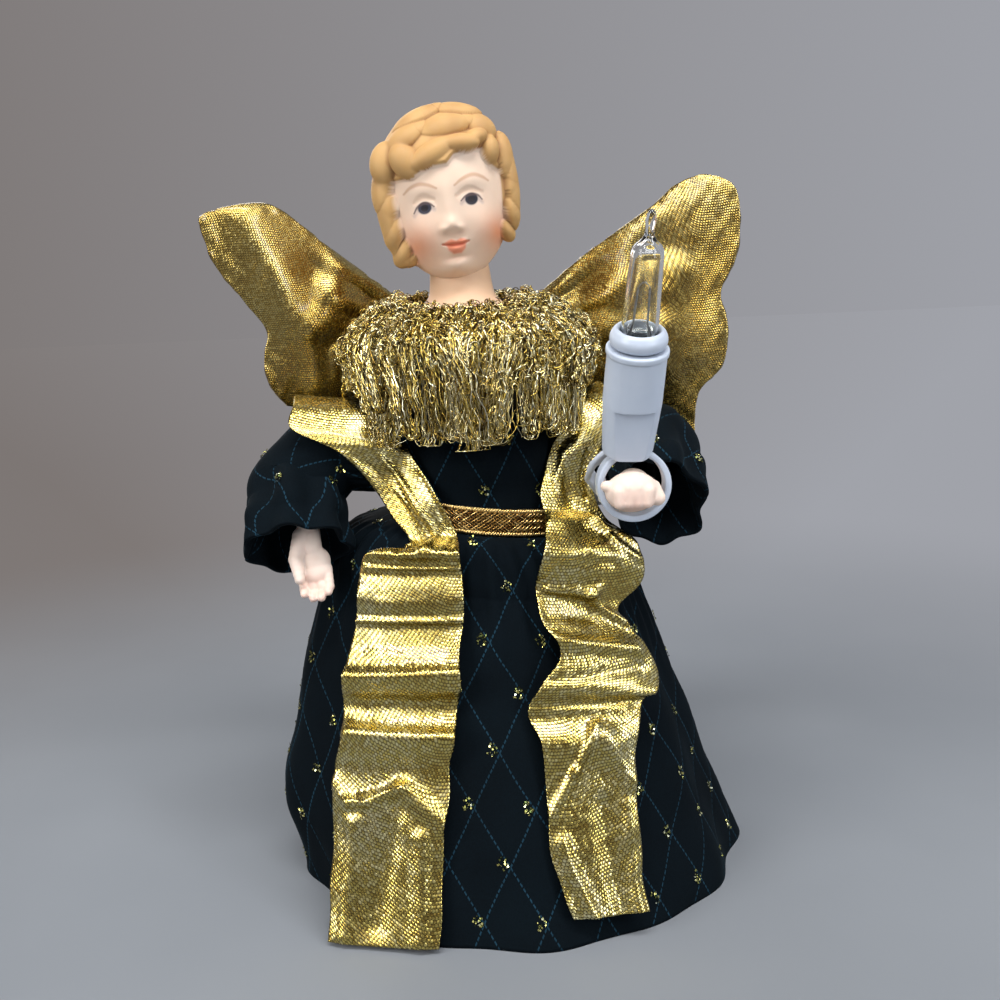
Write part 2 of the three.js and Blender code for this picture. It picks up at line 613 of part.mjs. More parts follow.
// Sleeves: a round cap on the shoulder that widens into a bell; the inside is drawn in round the arm.
function sleeveSolid(side, mouth) {
  const root = point(rootX(side) + side * figure.gap, shoulder.y, shoulder.z);
  const radius = shoulder.capRadius;
  const capEnd = root.clone().add(point(side * radius, 0, 0));
  const centre = point(mouth.x, mouth.y, mouth.z);
  const outer = mouth.x + side * mouth.halfWidth;
  const elbow = point(
    mix(capEnd.x, outer, 0.5), mix(root.y, mouth.y, 0.2), mix(root.z, mouth.z, mouth.droop));
  const fore = point(mix(elbow.x, mouth.x, 0.6), mix(root.y, mouth.y, 0.52), mix(elbow.z, mouth.z, 0.3));
  const late = mixPoint(fore, centre, 0.5);
  // A section between one radius and the mouth's two half sizes.
  const section = (place, from, share) => [
    place, mix(from, mouth.halfWidth, share), mix(from, mouth.halfHeight, share)];
  const outerSections = [
    section(root, radius, 0),
    section(mixPoint(root, capEnd, 0.5), radius, 0),
    section(capEnd, radius * 1.02, 0),
    section(elbow, radius, 0.3),
    section(fore, radius, 0.75),
    section(late, radius, 0.88),
    section(centre, radius, 1),
  ];
  const wave = (a, t) => sleeve.foldDepth * ease((t - 0.35) / 0.5) * Math.cos(sleeve.foldCount * a);
  const innerSections = [
    ...outerSections.slice(0, -2).map(([place]) => section(place, sleeve.boreRadius, 0)),
    section(late, sleeve.boreRadius, 0.5),
    [centre, mouth.halfWidth - sleeve.velvet, mouth.halfHeight - sleeve.velvet],
  ];
  const first = point(0, 0.7, 0.7);
  const innerWave = (a, t) => wave(a, t) * ease((t - 0.8) / 0.2);
  return shell(
    carried(outerSections, first, 28, wave),
    carried(innerSections, first, 28, innerWave),
  );
}
function mixPoint(a, b, t) {
  return a.clone().lerp(b, t);
}
add('right_sleeve', 'velvet', sleeveSolid(-1, rightMouth), rightArm);
add('left_sleeve', 'velvet', sleeveSolid(1, leftMouth), leftArm);

// Right hand: bisque, hanging, with its fingers curled and the thumb beside them.
const rightWrist = point(
  rightMouth.x + 0.22 * rightMouth.halfWidth, rightMouth.y + 0.17 * rightMouth.halfWidth,
  rightMouth.z + 0.42 * rightMouth.halfHeight);
const handDown = point(0.13, -0.32, -0.94).normalize();
const onHand = (share) => rightWrist.clone().addScaledVector(handDown, share * rightHand.length);
// Rows of how far down the hand, how wide and how deep.
const handShares = [
  [0, 0.62, 0.85], [0.2, 0.66, 0.85], [0.38, 0.95, 1], [0.58, 1, 1], [0.76, 0.94, 1.08],
  [0.92, 0.7, 0.9], [1, 0.3, 0.4],
];
const handSections = handShares.map(([share, wide, deep]) =>
  [onHand(share), wide * rightHand.halfWidth, deep * rightHand.halfDepth]);
const thumbStart = onHand(0.3).add(point(rightHand.halfWidth * 0.55, -rightHand.halfDepth * 0.3, 0));
const thumbEnd = thumbStart.clone().add(point(
  rightHand.halfWidth * 0.35, -rightHand.halfDepth * 0.8, -rightHand.length * 0.36));
const thumbRadius = rightHand.halfWidth * 0.33;
const thumbShares = [[0, 0.7], [0.35, 1], [0.7, 0.95], [1, 0.45]];
const thumbSections = thumbShares.map(([share, size]) =>
  [mixPoint(thumbStart, thumbEnd, share), size * thumbRadius, size * thumbRadius]);
add('right_hand', 'bisque', joined(
  skin(carried(handSections, alongX, 16)), skin(carried(thumbSections, alongX, 10))), rightArm);

// Left hand: a closed fist that reaches forward through the lamp's ring.
const fist = point(
  ring.x - 0.15 * ring.innerRadius, ring.frontY - 0.3 * ring.innerRadius, ring.z - 0.2 * ring.innerRadius);
const wristEnd = point(
  mix(leftMouth.x, fist.x, 0.25), leftMouth.y + 0.45 * leftHand.wristRadius, mix(leftMouth.z, fist.z, 0.2));
const inRing = point(ring.x, ring.frontY + ring.length / 2, ring.z - 0.06 * ring.innerRadius);
const fistEnd = fist.clone().add(point(0, -leftHand.fistHalfHeight, -0.18 * leftHand.fistHalfHeight));
const fistShares = [
  [wristEnd, 0.72, 0.84], [mixPoint(inRing, wristEnd, 0.7), 0.72, 0.84],
  [mixPoint(inRing, wristEnd, 0.25), 0.7, 0.76], [inRing, 0.72, 0.74],
  [mixPoint(fist, inRing, 0.4), 0.82, 0.82], [fist, 1, 1],
  [mixPoint(fist, fistEnd, 0.5), 0.98, 0.98], [mixPoint(fist, fistEnd, 0.8), 0.86, 0.86],
  [fistEnd, 0.45, 0.5],
];
const fistSections = fistShares.map(([centre, wide, high]) =>
  [centre, wide * leftHand.fistHalfWidth, high * leftHand.fistHalfHeight]);
add('left_hand', 'bisque', skin(carried(fistSections, alongX, 16)), leftArm);

// Arm wires: from the shoulder wire's ends down the sleeves to the wrists.
function armWire(side, mouth, wrist, toward) {
  const start = point(rootX(side) + side * figure.gap, shoulder.y, shoulder.z);
  const capEnd = start.clone().add(point(side * shoulder.capRadius, 0, 0));
  const outer = mouth.x + side * mouth.halfWidth;
  const elbow = point(
    mix(capEnd.x, outer, 0.45), mix(start.y, mouth.y, 0.22), mix(start.z, mouth.z, mouth.droop));
  const end = wrist.clone().addScaledVector(toward, -figure.gap);
  const before = end.clone().addScaledVector(toward, -2 * shoulder.wireRadius);
  return wire([start, capEnd, elbow, before, end], shoulder.wireRadius, 16);
}
add('right_arm_wire', 'steel', armWire(-1, rightMouth, rightWrist, handDown), rightArm);
const reach = fist.clone().sub(wristEnd).normalize();
add('left_arm_wire', 'steel', armWire(1, leftMouth, wristEnd, reach), leftArm);

// Lamp ring: a short white tube round the fist, which the socket straddles.
const ringMiddle = point(ring.x, ring.frontY + ring.length / 2, ring.z);
const ringTool = (radius, length, sides) => pin(radius, length, ringMiddle, alongY, sides);
add('lamp_ring', 'white', cut(
  ringTool(ring.outerRadius, ring.length, 32), ringTool(ring.innerRadius, 2 * ring.length, 28)), leftArm);

// Lamp pieces are turned about an upright line through the socket's foot, then leaned forward and sideways.
const lampFoot = point(lamp.x, lamp.y, lamp.bottomZ);
function lathe(profile, sides = 22) {
  const geometry = new THREE.LatheGeometry(profile.map(([r, z]) => new THREE.Vector2(r, z)), sides);
  geometry.rotateX(Math.PI / 2);
  return geometry;
}
const onLamp = (geometry) =>
  geometry.rotateX(lamp.lean).rotateY(lamp.tilt).translate(lampFoot.x, lampFoot.y, lampFoot.z);
const boreFloor = lamp.socketHeight - lamp.boreDepth;
const stepRadius = mix(lamp.bottomRadius, lamp.topRadius, 0.75);
const socketBody = lathe([
  [0, 0], [lamp.bottomRadius - 0.15 * lamp.lip, 0], [lamp.bottomRadius, 0.6 * lamp.lip],
  [stepRadius, lamp.stepHeight], [lamp.topRadius - 0.15 * lamp.lip, lamp.socketHeight - lamp.lip],
  [lamp.topRadius, lamp.socketHeight - 0.8 * lamp.lip], [lamp.topRadius, lamp.socketHeight - 0.25 * lamp.lip],
  [lamp.topRadius - 0.25 * lamp.lip, lamp.socketHeight], [0, lamp.socketHeight],
], 28);
const boreTool = lathe([
  [0, boreFloor], [lamp.boreRadius, boreFloor],
  [lamp.boreRadius, 2 * lamp.socketHeight], [0, 2 * lamp.socketHeight],
]);
const flatTool = (side) => {
  const block = new THREE.BoxGeometry(4 * lamp.topRadius, lamp.topRadius, 2 * lamp.stepHeight);
  return block.translate(0, side * (lamp.flatDepth + lamp.topRadius / 2), 0);
};
const saddleTool = ringTool(ring.outerRadius + figure.gap, ring.length + 2 * figure.gap, 32);
add('lamp_socket', 'white', cut(
  onLamp(cut(socketBody, boreTool, flatTool(-1), flatTool(1))), saddleTool), leftArm);

// Two brass contacts stand in the bore, one on each side of the bulb's base.
const contactPlace = lamp.boreRadius - lamp.contactThickness / 2 - figure.gap / 2;
[['a', -1], ['b', 1]].forEach(([letter, side]) => {
  const strip = new THREE.BoxGeometry(lamp.contactThickness, lamp.contactWidth, lamp.boreDepth * 0.75);
  strip.translate(side * contactPlace, 0, boreFloor + figure.gap + lamp.boreDepth * 0.375);
  add(`socket_contact_${letter}`, 'brass', onLamp(strip), leftArm);
});

// Bulb: a white plug-in base, a clear glass with a drawn tip, a bead with the filament and two leads.
const capFloor = lamp.socketHeight + figure.gap;
const glassFloor = capFloor + lamp.capHeight * 0.35;
const glassShoulder = glassFloor + lamp.glassHeight;
const baseTop = capFloor + lamp.capHeight;
const stem = lathe([
  [0, capFloor - lamp.baseLength], [lamp.baseRadius, capFloor - lamp.baseLength], [lamp.baseRadius, capFloor],
  [lamp.capRadius * 0.97, capFloor], [lamp.capRadius, mix(capFloor, baseTop, 0.25)],
  [lamp.capRadius * 0.96, mix(capFloor, baseTop, 0.6)], [lamp.capRadius * 0.86, mix(capFloor, baseTop, 0.9)],
  [lamp.capRadius * 0.76, baseTop], [0, baseTop],
]);
const glassSeat = lathe([
  [0, glassFloor], [lamp.glassRadius + figure.gap, glassFloor],
  [lamp.glassRadius + figure.gap, 2 * baseTop], [0, 2 * baseTop],
]);
add('bulb_base', 'white', onLamp(cut(stem, glassSeat)), bulb);
const wall = lamp.glassWall;
const glassTip = glassShoulder + lamp.tipHeight;
const glassProfile = [
  [lamp.glassRadius - wall, glassFloor + figure.gap], [lamp.glassRadius, glassFloor + figure.gap],
  [lamp.glassTopRadius, glassShoulder],
  [lamp.glassTopRadius * 0.62, mix(glassShoulder, glassTip, 0.26)],
  [lamp.tipRadius * 1.5, mix(glassShoulder, glassTip, 0.5)],
  [lamp.tipRadius, mix(glassShoulder, glassTip, 0.85)],
  [0, glassTip], [0, mix(glassShoulder, glassTip, 0.42)],
  [(lamp.glassTopRadius - wall) * 0.6, mix(glassShoulder, glassTip, 0.18)],
  [lamp.glassTopRadius - wall, glassShoulder - wall], [lamp.glassRadius - wall, glassFloor + figure.gap],
];
add('bulb_glass', 'glass', onLamp(lathe(glassProfile)), bulb);
const beadZ = glassFloor + figure.gap;
const beadRadius = lamp.glassRadius - wall - figure.gap;
const bead = lathe([
  [0, beadZ], [beadRadius * 0.8, beadZ], [beadRadius, beadZ + beadRadius * 0.5],
  [beadRadius * 0.7, beadZ + beadRadius], [0, beadZ + beadRadius * 1.2]], 12);
const supportLength = lamp.glassHeight * 0.42;
const supportMiddle = beadZ + beadRadius + supportLength / 2;
const support = (side) => pin(
  lamp.leadRadius, supportLength, point(side * beadRadius * 0.42, 0, supportMiddle), alongZ, 6);
const filamentZ = beadZ + beadRadius + supportLength - lamp.leadRadius;
const filament = pin(lamp.leadRadius * 0.8, beadRadius * 0.9, point(0, 0, filamentZ), alongX, 6);
add('bulb_filament', 'steel', onLamp(joined(bead, support(-1), support(1), filament)), bulb);
[['a', -1], ['b', 1]].forEach(([letter, side]) => {
  const length = lamp.baseLength * 0.8;
  const place = point(
    side * (lamp.baseRadius + lamp.leadRadius + figure.gap / 6), 0, capFloor - figure.gap - length / 2);
  add(`bulb_lead_${letter}`, 'steel', onLamp(pin(lamp.leadRadius * 0.8, length, place, alongZ, 6)), bulb);
});

// Wings: a padded bow of lame, gathered at the root, each side with an upper and a lower lobe.
// Edges from the root outwards and from the top down, as shares of the span from the root's middle.
const leftWingShares = {
  top: [[0, 0.06], [0.242, 0.222], [0.4, 0.35], [0.534, 0.438], [0.662, 0.524], [0.74, 0.592],
    [0.82, 0.622], [0.89, 0.61]],
  outer: [[0.89, 0.61], [0.946, 0.556], [0.958, 0.41], [0.94, 0.294], [0.896, 0.184], [0.918, 0.078],
    [0.918, -0.016], [0.898, -0.104], [0.82, -0.208], [0.806, -0.388]],
  bottom: [[0, -0.06], [0.2, -0.14], [0.43, -0.22], [0.61, -0.28], [0.68, -0.4], [0.74, -0.41],
    [0.806, -0.388]],
};
const rightWingShares = {
  top: [[0, 0.06], [0.172, 0.206], [0.304, 0.31], [0.432, 0.412], [0.538, 0.508], [0.64, 0.584],
    [0.728, 0.592], [0.798, 0.578]],
  outer: [[0.798, 0.578], [0.896, 0.546], [0.884, 0.442], [0.852, 0.35], [0.774, 0.234], [0.698, 0.116],
    [0.712, 0.032], [0.716, -0.036], [0.694, -0.124], [0.644, -0.192]],
  bottom: [[0, -0.06], [0.26, -0.16], [0.474, -0.216], [0.644, -0.192]],
};
const wingLine = lineX(wing.rootZ);
const wingDepth = (out) => wing.rootY + (wing.tipY - wing.rootY) * Math.min(out / wing.span, 1.1) ** 1.6;
const edgeCurve = (table) => new THREE.SplineCurve(table.map(([x, z]) => new THREE.Vector2(x, z)));
// A patch between the four edges: s runs outwards, t runs from the bottom to the top.
function wingPatch(table) {
  const top = edgeCurve(table.top);
  const bottom = edgeCurve(table.bottom);
  const outer = edgeCurve([...table.outer].reverse());
  const [lowEnd, highEnd] = [bottom.getPoint(1), top.getPoint(1)];
  // The root's edge is straight, so only the outer edge bends the patch away from its end lines.
  return (s, t) => {
    const place = bottom.getPointAt(s).multiplyScalar(1 - t).add(top.getPointAt(s).multiplyScalar(t));
    const bend = outer.getPointAt(t).sub(lowEnd.clone().lerp(highEnd, t));
    return place.addScaledVector(bend, s);
  };
}
const bulge = (share, power) => Math.sin(Math.PI * Math.min(share, 1)) ** power;
const wingHalf = (s, t) => wing.edge + wing.puff * bulge(s, 0.8) * bulge(t, 0.7);
function wingMiddle(side, patch, s, t) {
  const place = patch(s, t);
  const out = wing.span * place.x;
  const pleat = wing.pleat * Math.sin(wing.pleatCount * Math.PI * t) * bulge(s * 1.05, 0.7);
  return point(
    wingLine + side * (wing.rootReach + out), wingDepth(out) + pleat, wing.rootZ + wing.span * place.y);
}
function wingSolid(side, table) {
  const patch = wingPatch(table);
  return sheet(steps(16, (s) => steps(14, (t) => wingMiddle(side, patch, s, t))), wingHalf);
}
add('left_wing', 'lame', wingSolid(1, leftWingShares), leftWing);
add('right_wing', 'lame', wingSolid(-1, rightWingShares), rightWing);

// A wire is sewn behind each wing's top edge.
function wingWire(side, table) {
  const patch = wingPatch(table);
  const high = 0.93;
  const points = steps(9, (t) => {
    const along = mix(0.04, 0.94, t);
    const behind = wingHalf(along, high) * wing.slantShare + wing.wireRadius + figure.gap;
    return wingMiddle(side, patch, along, high).add(point(0, behind, 0));
  });
  return wire(points, wing.wireRadius, 16);
}
add('left_wing_wire', 'steel', wingWire(1, leftWingShares), leftWing);
add('right_wing_wire', 'steel', wingWire(-1, rightWingShares), rightWing);

// Band that gathers the bow, and the tab that holds it to the bodice behind the collar.
const bandLoops = steps(6, (t) => {
  const z = wing.rootZ + mix(-1, 1, t) * band.halfHeight;
  const full = 0.72 + 0.28 * Math.sin(Math.PI * t);
  return around(16, (a) => point(
    wingLine + full * band.halfWidth * Math.cos(a), wing.rootY + full * band.halfDepth * Math.sin(a), z));
});
add('wing_band', 'lame', skin(bandLoops));

// Lamp lead: two insulated wires side by side, under the left arm and down the dress's back to a plug.
const armLeadPoints = [
  point(26, -30.2, 83.7), point(24.2, -30, 82.6), point(22.6, -28.8, 81.2), point(22, -26, 80),
  point(22.2, -22.5, 78.8), point(22.4, -18.9, 77.7),
];
const backLeadPoints = [
  point(22.8, -17.9, 77), point(23.6, -16, 75.8), point(25.4, -12.6, 73.2), point(25.8, -9, 71.4),
  point(25.2, -3, 70.4), point(23, 5, 70.8), point(19, 12, 71.6), point(13, 16.6, 71.6), point(8, 18, 69),
  point(6, 20, 64.4), point(6, 21.6, 58), point(6, 23.6, 52), point(6.1, 26.8, 46.4), point(6.4, 31.4, 40.6),
];
// The pair's wide side lies flat on the figure.
function flatLead(points, stepCount) {
  const path = new THREE.CatmullRomCurve3(points, false, 'centripetal');
  const loops = steps(stepCount, (t) => {
    const place = path.getPointAt(t);
    const direction = path.getTangentAt(t);
    const outward = point(place.x - lineX(place.z), place.y, 0).normalize();
    const wide = direction.clone().cross(outward).normalize();
    const thick = wide.clone().cross(direction);
    return around(8, (a) => {
      const waist = 1 - 0.25 * Math.sin(a) ** 6;
      return place.clone()
        .addScaledVector(wide, lead.wide * Math.cos(a))
        .addScaledVector(thick, lead.thick * waist * Math.sin(a));
    });
  });
  return skin(loops);
}
add('lamp_lead', 'white', flatLead(armLeadPoints, 12), leftArm);
add('back_lead', 'white', flatLead(backLeadPoints, 30));

// Plug on the end of the lead: a bulb-sized base that fits the socket of a light string.
const plugTop = backLeadPoints.at(-1).clone().add(point(0, 0, -figure.gap));
const plug = lathe([
  [0, -lead.plugLength], [lead.plugRadius * 0.7, -lead.plugLength], [lead.plugRadius * 0.8, -lead.capLength],
  [lead.capRadius, -lead.capLength], [lead.capRadius, -lead.capLength * 0.4],
  [lead.capRadius * 0.7, 0], [0, 0],
], 20);
// The plug lies along the slope of the skirt.
const slope = Math.atan2(skirt.hemY - skirt.hipY, skirt.hipZ);
const onPlug = (geometry) => geometry.rotateX(slope).translate(plugTop.x, plugTop.y, plugTop.z);
add('lead_plug', 'white', onPlug(plug));
[['a', -1], ['b', 1]].forEach(([letter, side]) => {
  const length = (lead.plugLength - lead.capLength) * 0.7;
  const out = lead.plugRadius * 0.8 + lamp.leadRadius + figure.gap / 2;
  const place = point(side * out, 0, -lead.capLength - figure.gap - length / 2);
  add(`plug_contact_${letter}`, 'brass', onPlug(pin(lamp.leadRadius, length, place, alongZ, 6)));
});

export default angel;
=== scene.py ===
import math
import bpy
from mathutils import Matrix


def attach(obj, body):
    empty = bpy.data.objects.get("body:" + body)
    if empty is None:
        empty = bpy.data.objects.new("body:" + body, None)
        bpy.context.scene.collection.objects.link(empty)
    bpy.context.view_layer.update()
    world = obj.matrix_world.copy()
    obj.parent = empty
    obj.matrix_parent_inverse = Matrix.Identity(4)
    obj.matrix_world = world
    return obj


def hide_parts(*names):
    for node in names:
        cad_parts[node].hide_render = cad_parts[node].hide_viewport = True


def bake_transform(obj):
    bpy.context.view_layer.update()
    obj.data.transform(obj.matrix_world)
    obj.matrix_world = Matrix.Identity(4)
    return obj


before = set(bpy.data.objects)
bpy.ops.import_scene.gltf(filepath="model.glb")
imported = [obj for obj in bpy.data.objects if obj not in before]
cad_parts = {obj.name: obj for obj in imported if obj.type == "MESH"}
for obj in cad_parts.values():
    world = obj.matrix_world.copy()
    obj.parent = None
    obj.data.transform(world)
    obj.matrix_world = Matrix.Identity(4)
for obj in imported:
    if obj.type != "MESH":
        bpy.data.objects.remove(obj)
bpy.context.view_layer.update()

from types import SimpleNamespace as Sizes

import bmesh
import bpy
import numpy as np
from mathutils import Matrix

# Shapes are worked out in millimetres in the figure's own frame, whose upright line passes through the head,
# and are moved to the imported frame, in metres, by row(). Left and right are the figure's own.
TAU = 2 * math.pi
MIDDLE = np.array([3.62, -4.16, 0.0])
MM = 0.001

LEAN = 7
CROWN_Z = 143.5
GAP = 0.3
# Turned profiles start and end this near to their axis.
NEAR_AXIS = 0.01
braid = Sizes(z=69, height=5, thickness=1, ease=0.65, slope_share=0.126)
bodice = Sizes(waist_x=16.5, waist_y=14.1, chest_x=17.3, chest_y=12, chest_z=84,
               shoulder_x=16.5, shoulder_y=12.4, top_z=100.4, velvet=0.9)
skirt = Sizes(hem_x=45.5, hem_y=41, hip_x=29.5, hip_y=19.5, hip_z=56, fold_count=9, fold_depth=1.9,
              side_bulge=3.5, hem_tuck=6, velvet=1.2)
cone = Sizes(base_radius=26, top_radius=4.6, top_z=104, wall=1.4)
head = Sizes(x=-0.7, z=128.8, tilt=0.12, turn=0.09)
plate = Sizes(neck_z=111.3, wall=2, collar_x=7.85, collar_y=7, collar_z=107.5,
              slope_x=12.4, slope_y=10.2, slope_z=103.8, edge_x=14.4, edge_y=11.2, edge_z=101)
collar = Sizes(heading_x=10.2, heading_y=9.2, heading_z=108.1, heading_radius=0.8, front_drop=0.9,
               ruff_x=22, ruff_y=15.4, ruff_z=105.2, edge_x=22.7, edge_y=17.2, shift=0.8,
               side_z=92.6, front_z=83.8, back_z=88, thickness=2.2, scallop=1.3)
shoulder = Sizes(reach=17.9, y=-1, z=81.5, cap_radius=8.3)
ribbon = Sizes(thickness=0.25, lift=1.1, clearance=0.6, fold_depth=1.6, hang_share=0.35)
sleeve = Sizes(velvet=1.2, bore_radius=4.6, fold_count=7, fold_depth=0.7)
right_mouth = Sizes(x=-30.7, y=-13, z=64.9, half_width=9.6, half_height=9.2, droop=0.45)
left_mouth = Sizes(x=35.1, y=-17.5, z=71.7, half_width=7.9, half_height=11.1, droop=0.25)
wing = Sizes(span=50, root_z=98.5, root_y=20, tip_y=1, root_reach=4.3, edge=0.3, puff=2.1, pleat=0.8,
             pleat_count=8)
band = Sizes(half_width=3.7, half_height=4.6, half_depth=2.3)
lamp = Sizes(x=26.7, y=-34, bottom_z=83.8, tilt=0.04, lean=0.39, socket_height=18.3, top_radius=4.8,
             bottom_radius=4.05, lip=1.1, bore_radius=3.2, bore_depth=9, step_height=9.2, flat_depth=3.3,
             base_radius=2.3, base_length=8, cap_radius=4.4, cap_height=2.7, glass_radius=2.8,
             glass_top_radius=2.4, glass_height=13.5, tip_height=6.2, tip_radius=0.55, glass_wall=0.45)
ring = Sizes(x=27.6, z=78.4, front_y=-35.7, length=3.4, outer_radius=5.95, inner_radius=4.9)
lead = Sizes(wide=1.4, thick=0.7, plug_radius=3.4, plug_length=14, cap_radius=4.1, cap_length=4)
lattice = Sizes(width=10.8, height=19, dot_radius=0.95, dot_aside=1.5, dot_up=0.3)
# Detail that the solids don't have.
quilt = Sizes(skirt=0.22, bodice=0.18, sleeve=0.2, sharpness=0.4)
flake = Sizes(per_dot=22, least=0.13, most=0.26, tilt=0.42, lowest=0.08, highest=0.3)
fringe = Sizes(sag=1.4, heading_sag=0.8, ruff_drop=1.9, fall=3, base_wall=0.5, tufts=136, per_tuft=18,
               thread_radius=0.2, curls=3300, neck_curls=330, curl_radius=0.18, flatness=0.5)
melt = Sizes(soft=0.75, sharp=0.22)


# The camera comes first: where the photographer stood, looking a little down with a slight roll.
def make_camera():
    pitch = 0.1987
    roll = -0.0441
    eye = np.array([0, -196.83, 109.8])
    forward = np.array([0, math.cos(pitch), -math.sin(pitch)])
    right = np.array([1.0, 0, 0])
    up = np.array([0, math.sin(pitch), math.cos(pitch)])
    across = right * math.cos(roll) + up * math.sin(roll)
    above = -right * math.sin(roll) + up * math.cos(roll)
    data = bpy.data.cameras.new("camera")
    data.lens = 37.08
    data.sensor_width = 36
    data.shift_x = 0.0379
    data.clip_start = 0.01
    camera = bpy.data.objects.new("camera", data)
    turn = Matrix([[across[i], above[i], -forward[i]] for i in range(3)])
    camera.matrix_world = Matrix.Translation((eye - MIDDLE) * MM) @ turn.to_4x4()
    bpy.context.collection.objects.link(camera)
    bpy.context.scene.camera = camera


make_camera()


# Small mathematics shared by the pieces.
def mix(a, b, t):
    return a + (b - a) * t


def ease(t):
    t = np.clip(t, 0, 1)
    return t * t * (3 - 2 * t)


def row(points):
    return (np.asarray(points, float) - MIDDLE) * MM


def line_x(z):
    return LEAN * (1 - z / CROWN_Z)


def radii_at(table, z):
    levels = [r[0] for r in table]
    return np.interp(z, levels, [r[1] for r in table]), np.interp(z, levels, [r[2] for r in table])


def ring_angles(count):
    return TAU * np.arange(count) / count


def angles_from_front(count):
    return (ring_angles(count) - math.pi / 2 + TAU) % TAU


def unit(v):
    return v / np.maximum(np.linalg.norm(v, axis=-1, keepdims=True), 1e-9)


def catmull(points, count):
    """A centripetal Catmull-Rom curve through points, along their first axis, at count + 1 steps."""
    points = np.asarray(points, float)
    p = np.concatenate([[2 * points[0] - points[1]], points, [2 * points[-1] - points[-2]]])
    t = np.linspace(0, len(points) - 1, count + 1)
    k = np.minimum(t.astype(int), len(points) - 2)
    f = (t - k).reshape((-1,) + (1,) * (points.ndim - 1))
    p0, p1, p2, p3 = p[k], p[k + 1], p[k + 2], p[k + 3]

    def stride(a, b):
        return np.maximum(np.linalg.norm(b - a, axis=-1, keepdims=True) ** 0.5, 1e-4)

    d0, d1, d2 = stride(p0, p1), stride(p1, p2), stride(p2, p3)
    m1 = ((p1 - p0) / d0 - (p2 - p0) / (d0 + d1) + (p2 - p1) / d1) * d1
    m2 = ((p2 - p1) / d1 - (p3 - p1) / (d1 + d2) + (p3 - p2) / d2) * d1
    return p1 + m1 * f + (-3 * p1 + 3 * p2 - 2 * m1 - m2) * f**2 + (2 * p1 - 2 * p2 + m1 + m2) * f**3


def even(points, count):
    """The same line of points at count + 1 equal steps of its length."""
    lengths = np.concatenate([[0], np.cumsum(np.linalg.norm(np.diff(points, axis=0), axis=1))])
    at = np.linspace(0, lengths[-1], count + 1)
    return np.stack([np.interp(at, lengths, points[:, k]) for k in range(points.shape[1])], -1)


def ripple(u, v, wavelength, seed, count=9):
    """Soft seeded noise of about unit height, from crossing waves."""
    rng = np.random.default_rng(seed)
    total = np.zeros(np.broadcast(u, v).shape)
    for _ in range(count):
        angle, phase = rng.uniform(0, TAU, 2)
        k = TAU / wavelength * rng.uniform(0.6, 1.5)
        total += np.cos(k * (u * math.cos(angle) + v * math.sin(angle)) + phase)
    return total / math.sqrt(count)


def ridges(u, v, table):
    """Height of creases: rows of [u0, v0, u1, v1, height, width], each a soft ridge along a straight line."""
    total = np.zeros(np.broadcast(u, v).shape)
    for u0, v0, u1, v1, height, width in table:
        du, dv = u1 - u0, v1 - v0
        along = np.clip(((u - u0) * du + (v - v0) * dv) / (du * du + dv * dv), 0, 1)
        apart = np.hypot(u - u0 - along * du, v - v0 - along * dv)
        total += height * np.exp(-((apart / width) ** 2))
    return total


def grid_normals(grid, ring_rows=False, ring_columns=False):
    def slope(axis, is_ring):
        if is_ring:
            return np.roll(grid, -1, axis) - np.roll(grid, 1, axis)
        return np.gradient(grid, axis=axis)

    return unit(np.cross(slope(0, ring_rows), slope(1, ring_columns)))


def loop_normals(grid):
    """Normals of a stack of closed loops, pointing away from each loop's middle."""
    n = grid_normals(grid, ring_columns=True)
    outward = ((grid - grid.mean(1, keepdims=True)) * n).sum()
    return n if outward > 0 else -n


def lengths_along(grid, axis):
    steps = np.linalg.norm(np.diff(grid, axis=axis), axis=-1)
    pad = [(0, 0), (0, 0)]
    pad[axis] = (1, 0)
    return np.pad(np.cumsum(steps, axis=axis), pad)


# Meshes.
def link(name, mesh, material):
    piece = bpy.data.objects.new(name, mesh)
    bpy.context.collection.objects.link(piece)
    mesh.materials.append(material)
    mesh.shade_smooth()
    return piece


def encloses(points, faces):
    """Twenty-four times the volume inside the faces, below zero where they face inwards."""
    a, b, c, d = (points[faces[:, k]] for k in range(4))
    return (np.cross(c - a, d - b) * (a + b + c + d)).sum()


def mesh_piece(name, points, faces, material, corner_uv=None, colours=None):
    mesh = bpy.data.meshes.new(name)
    if not isinstance(faces, list) and encloses(points, faces) < 0:
        faces = faces[:, ::-1]
        corner_uv = None if corner_uv is None else np.asarray(corner_uv)[:, ::-1]
    mesh.from_pydata(row(points).tolist(), [], faces if isinstance(faces, list) else faces.tolist())
    if corner_uv is not None:
        mesh.uv_layers.new(name="cloth").data.foreach_set("uv", np.asarray(corner_uv, np.float32).ravel())
    if colours is not None:
        layer = mesh.color_attributes.new("paint", "FLOAT_COLOR", "POINT")
        full = np.concatenate([colours, np.ones((len(colours), 1))], 1).astype(np.float32)
        layer.data.foreach_set("color", full.ravel())
    return link(name, mesh, material)


def grid_corners(rows, columns, ring_rows, ring_columns, flip):
    i = np.arange(rows if ring_rows else rows - 1)[:, None, None]
    j = np.arange(columns if ring_columns else columns - 1)[None, :, None]
    di, dj = np.array([0, 0, 1, 1]), np.array([0, 1, 1, 0])
    if flip:
        di, dj = di[::-1], dj[::-1]
    big_i, big_j = np.broadcast_arrays(i + di, j + dj)
    return big_i.reshape(-1, 4), big_j.reshape(-1, 4)


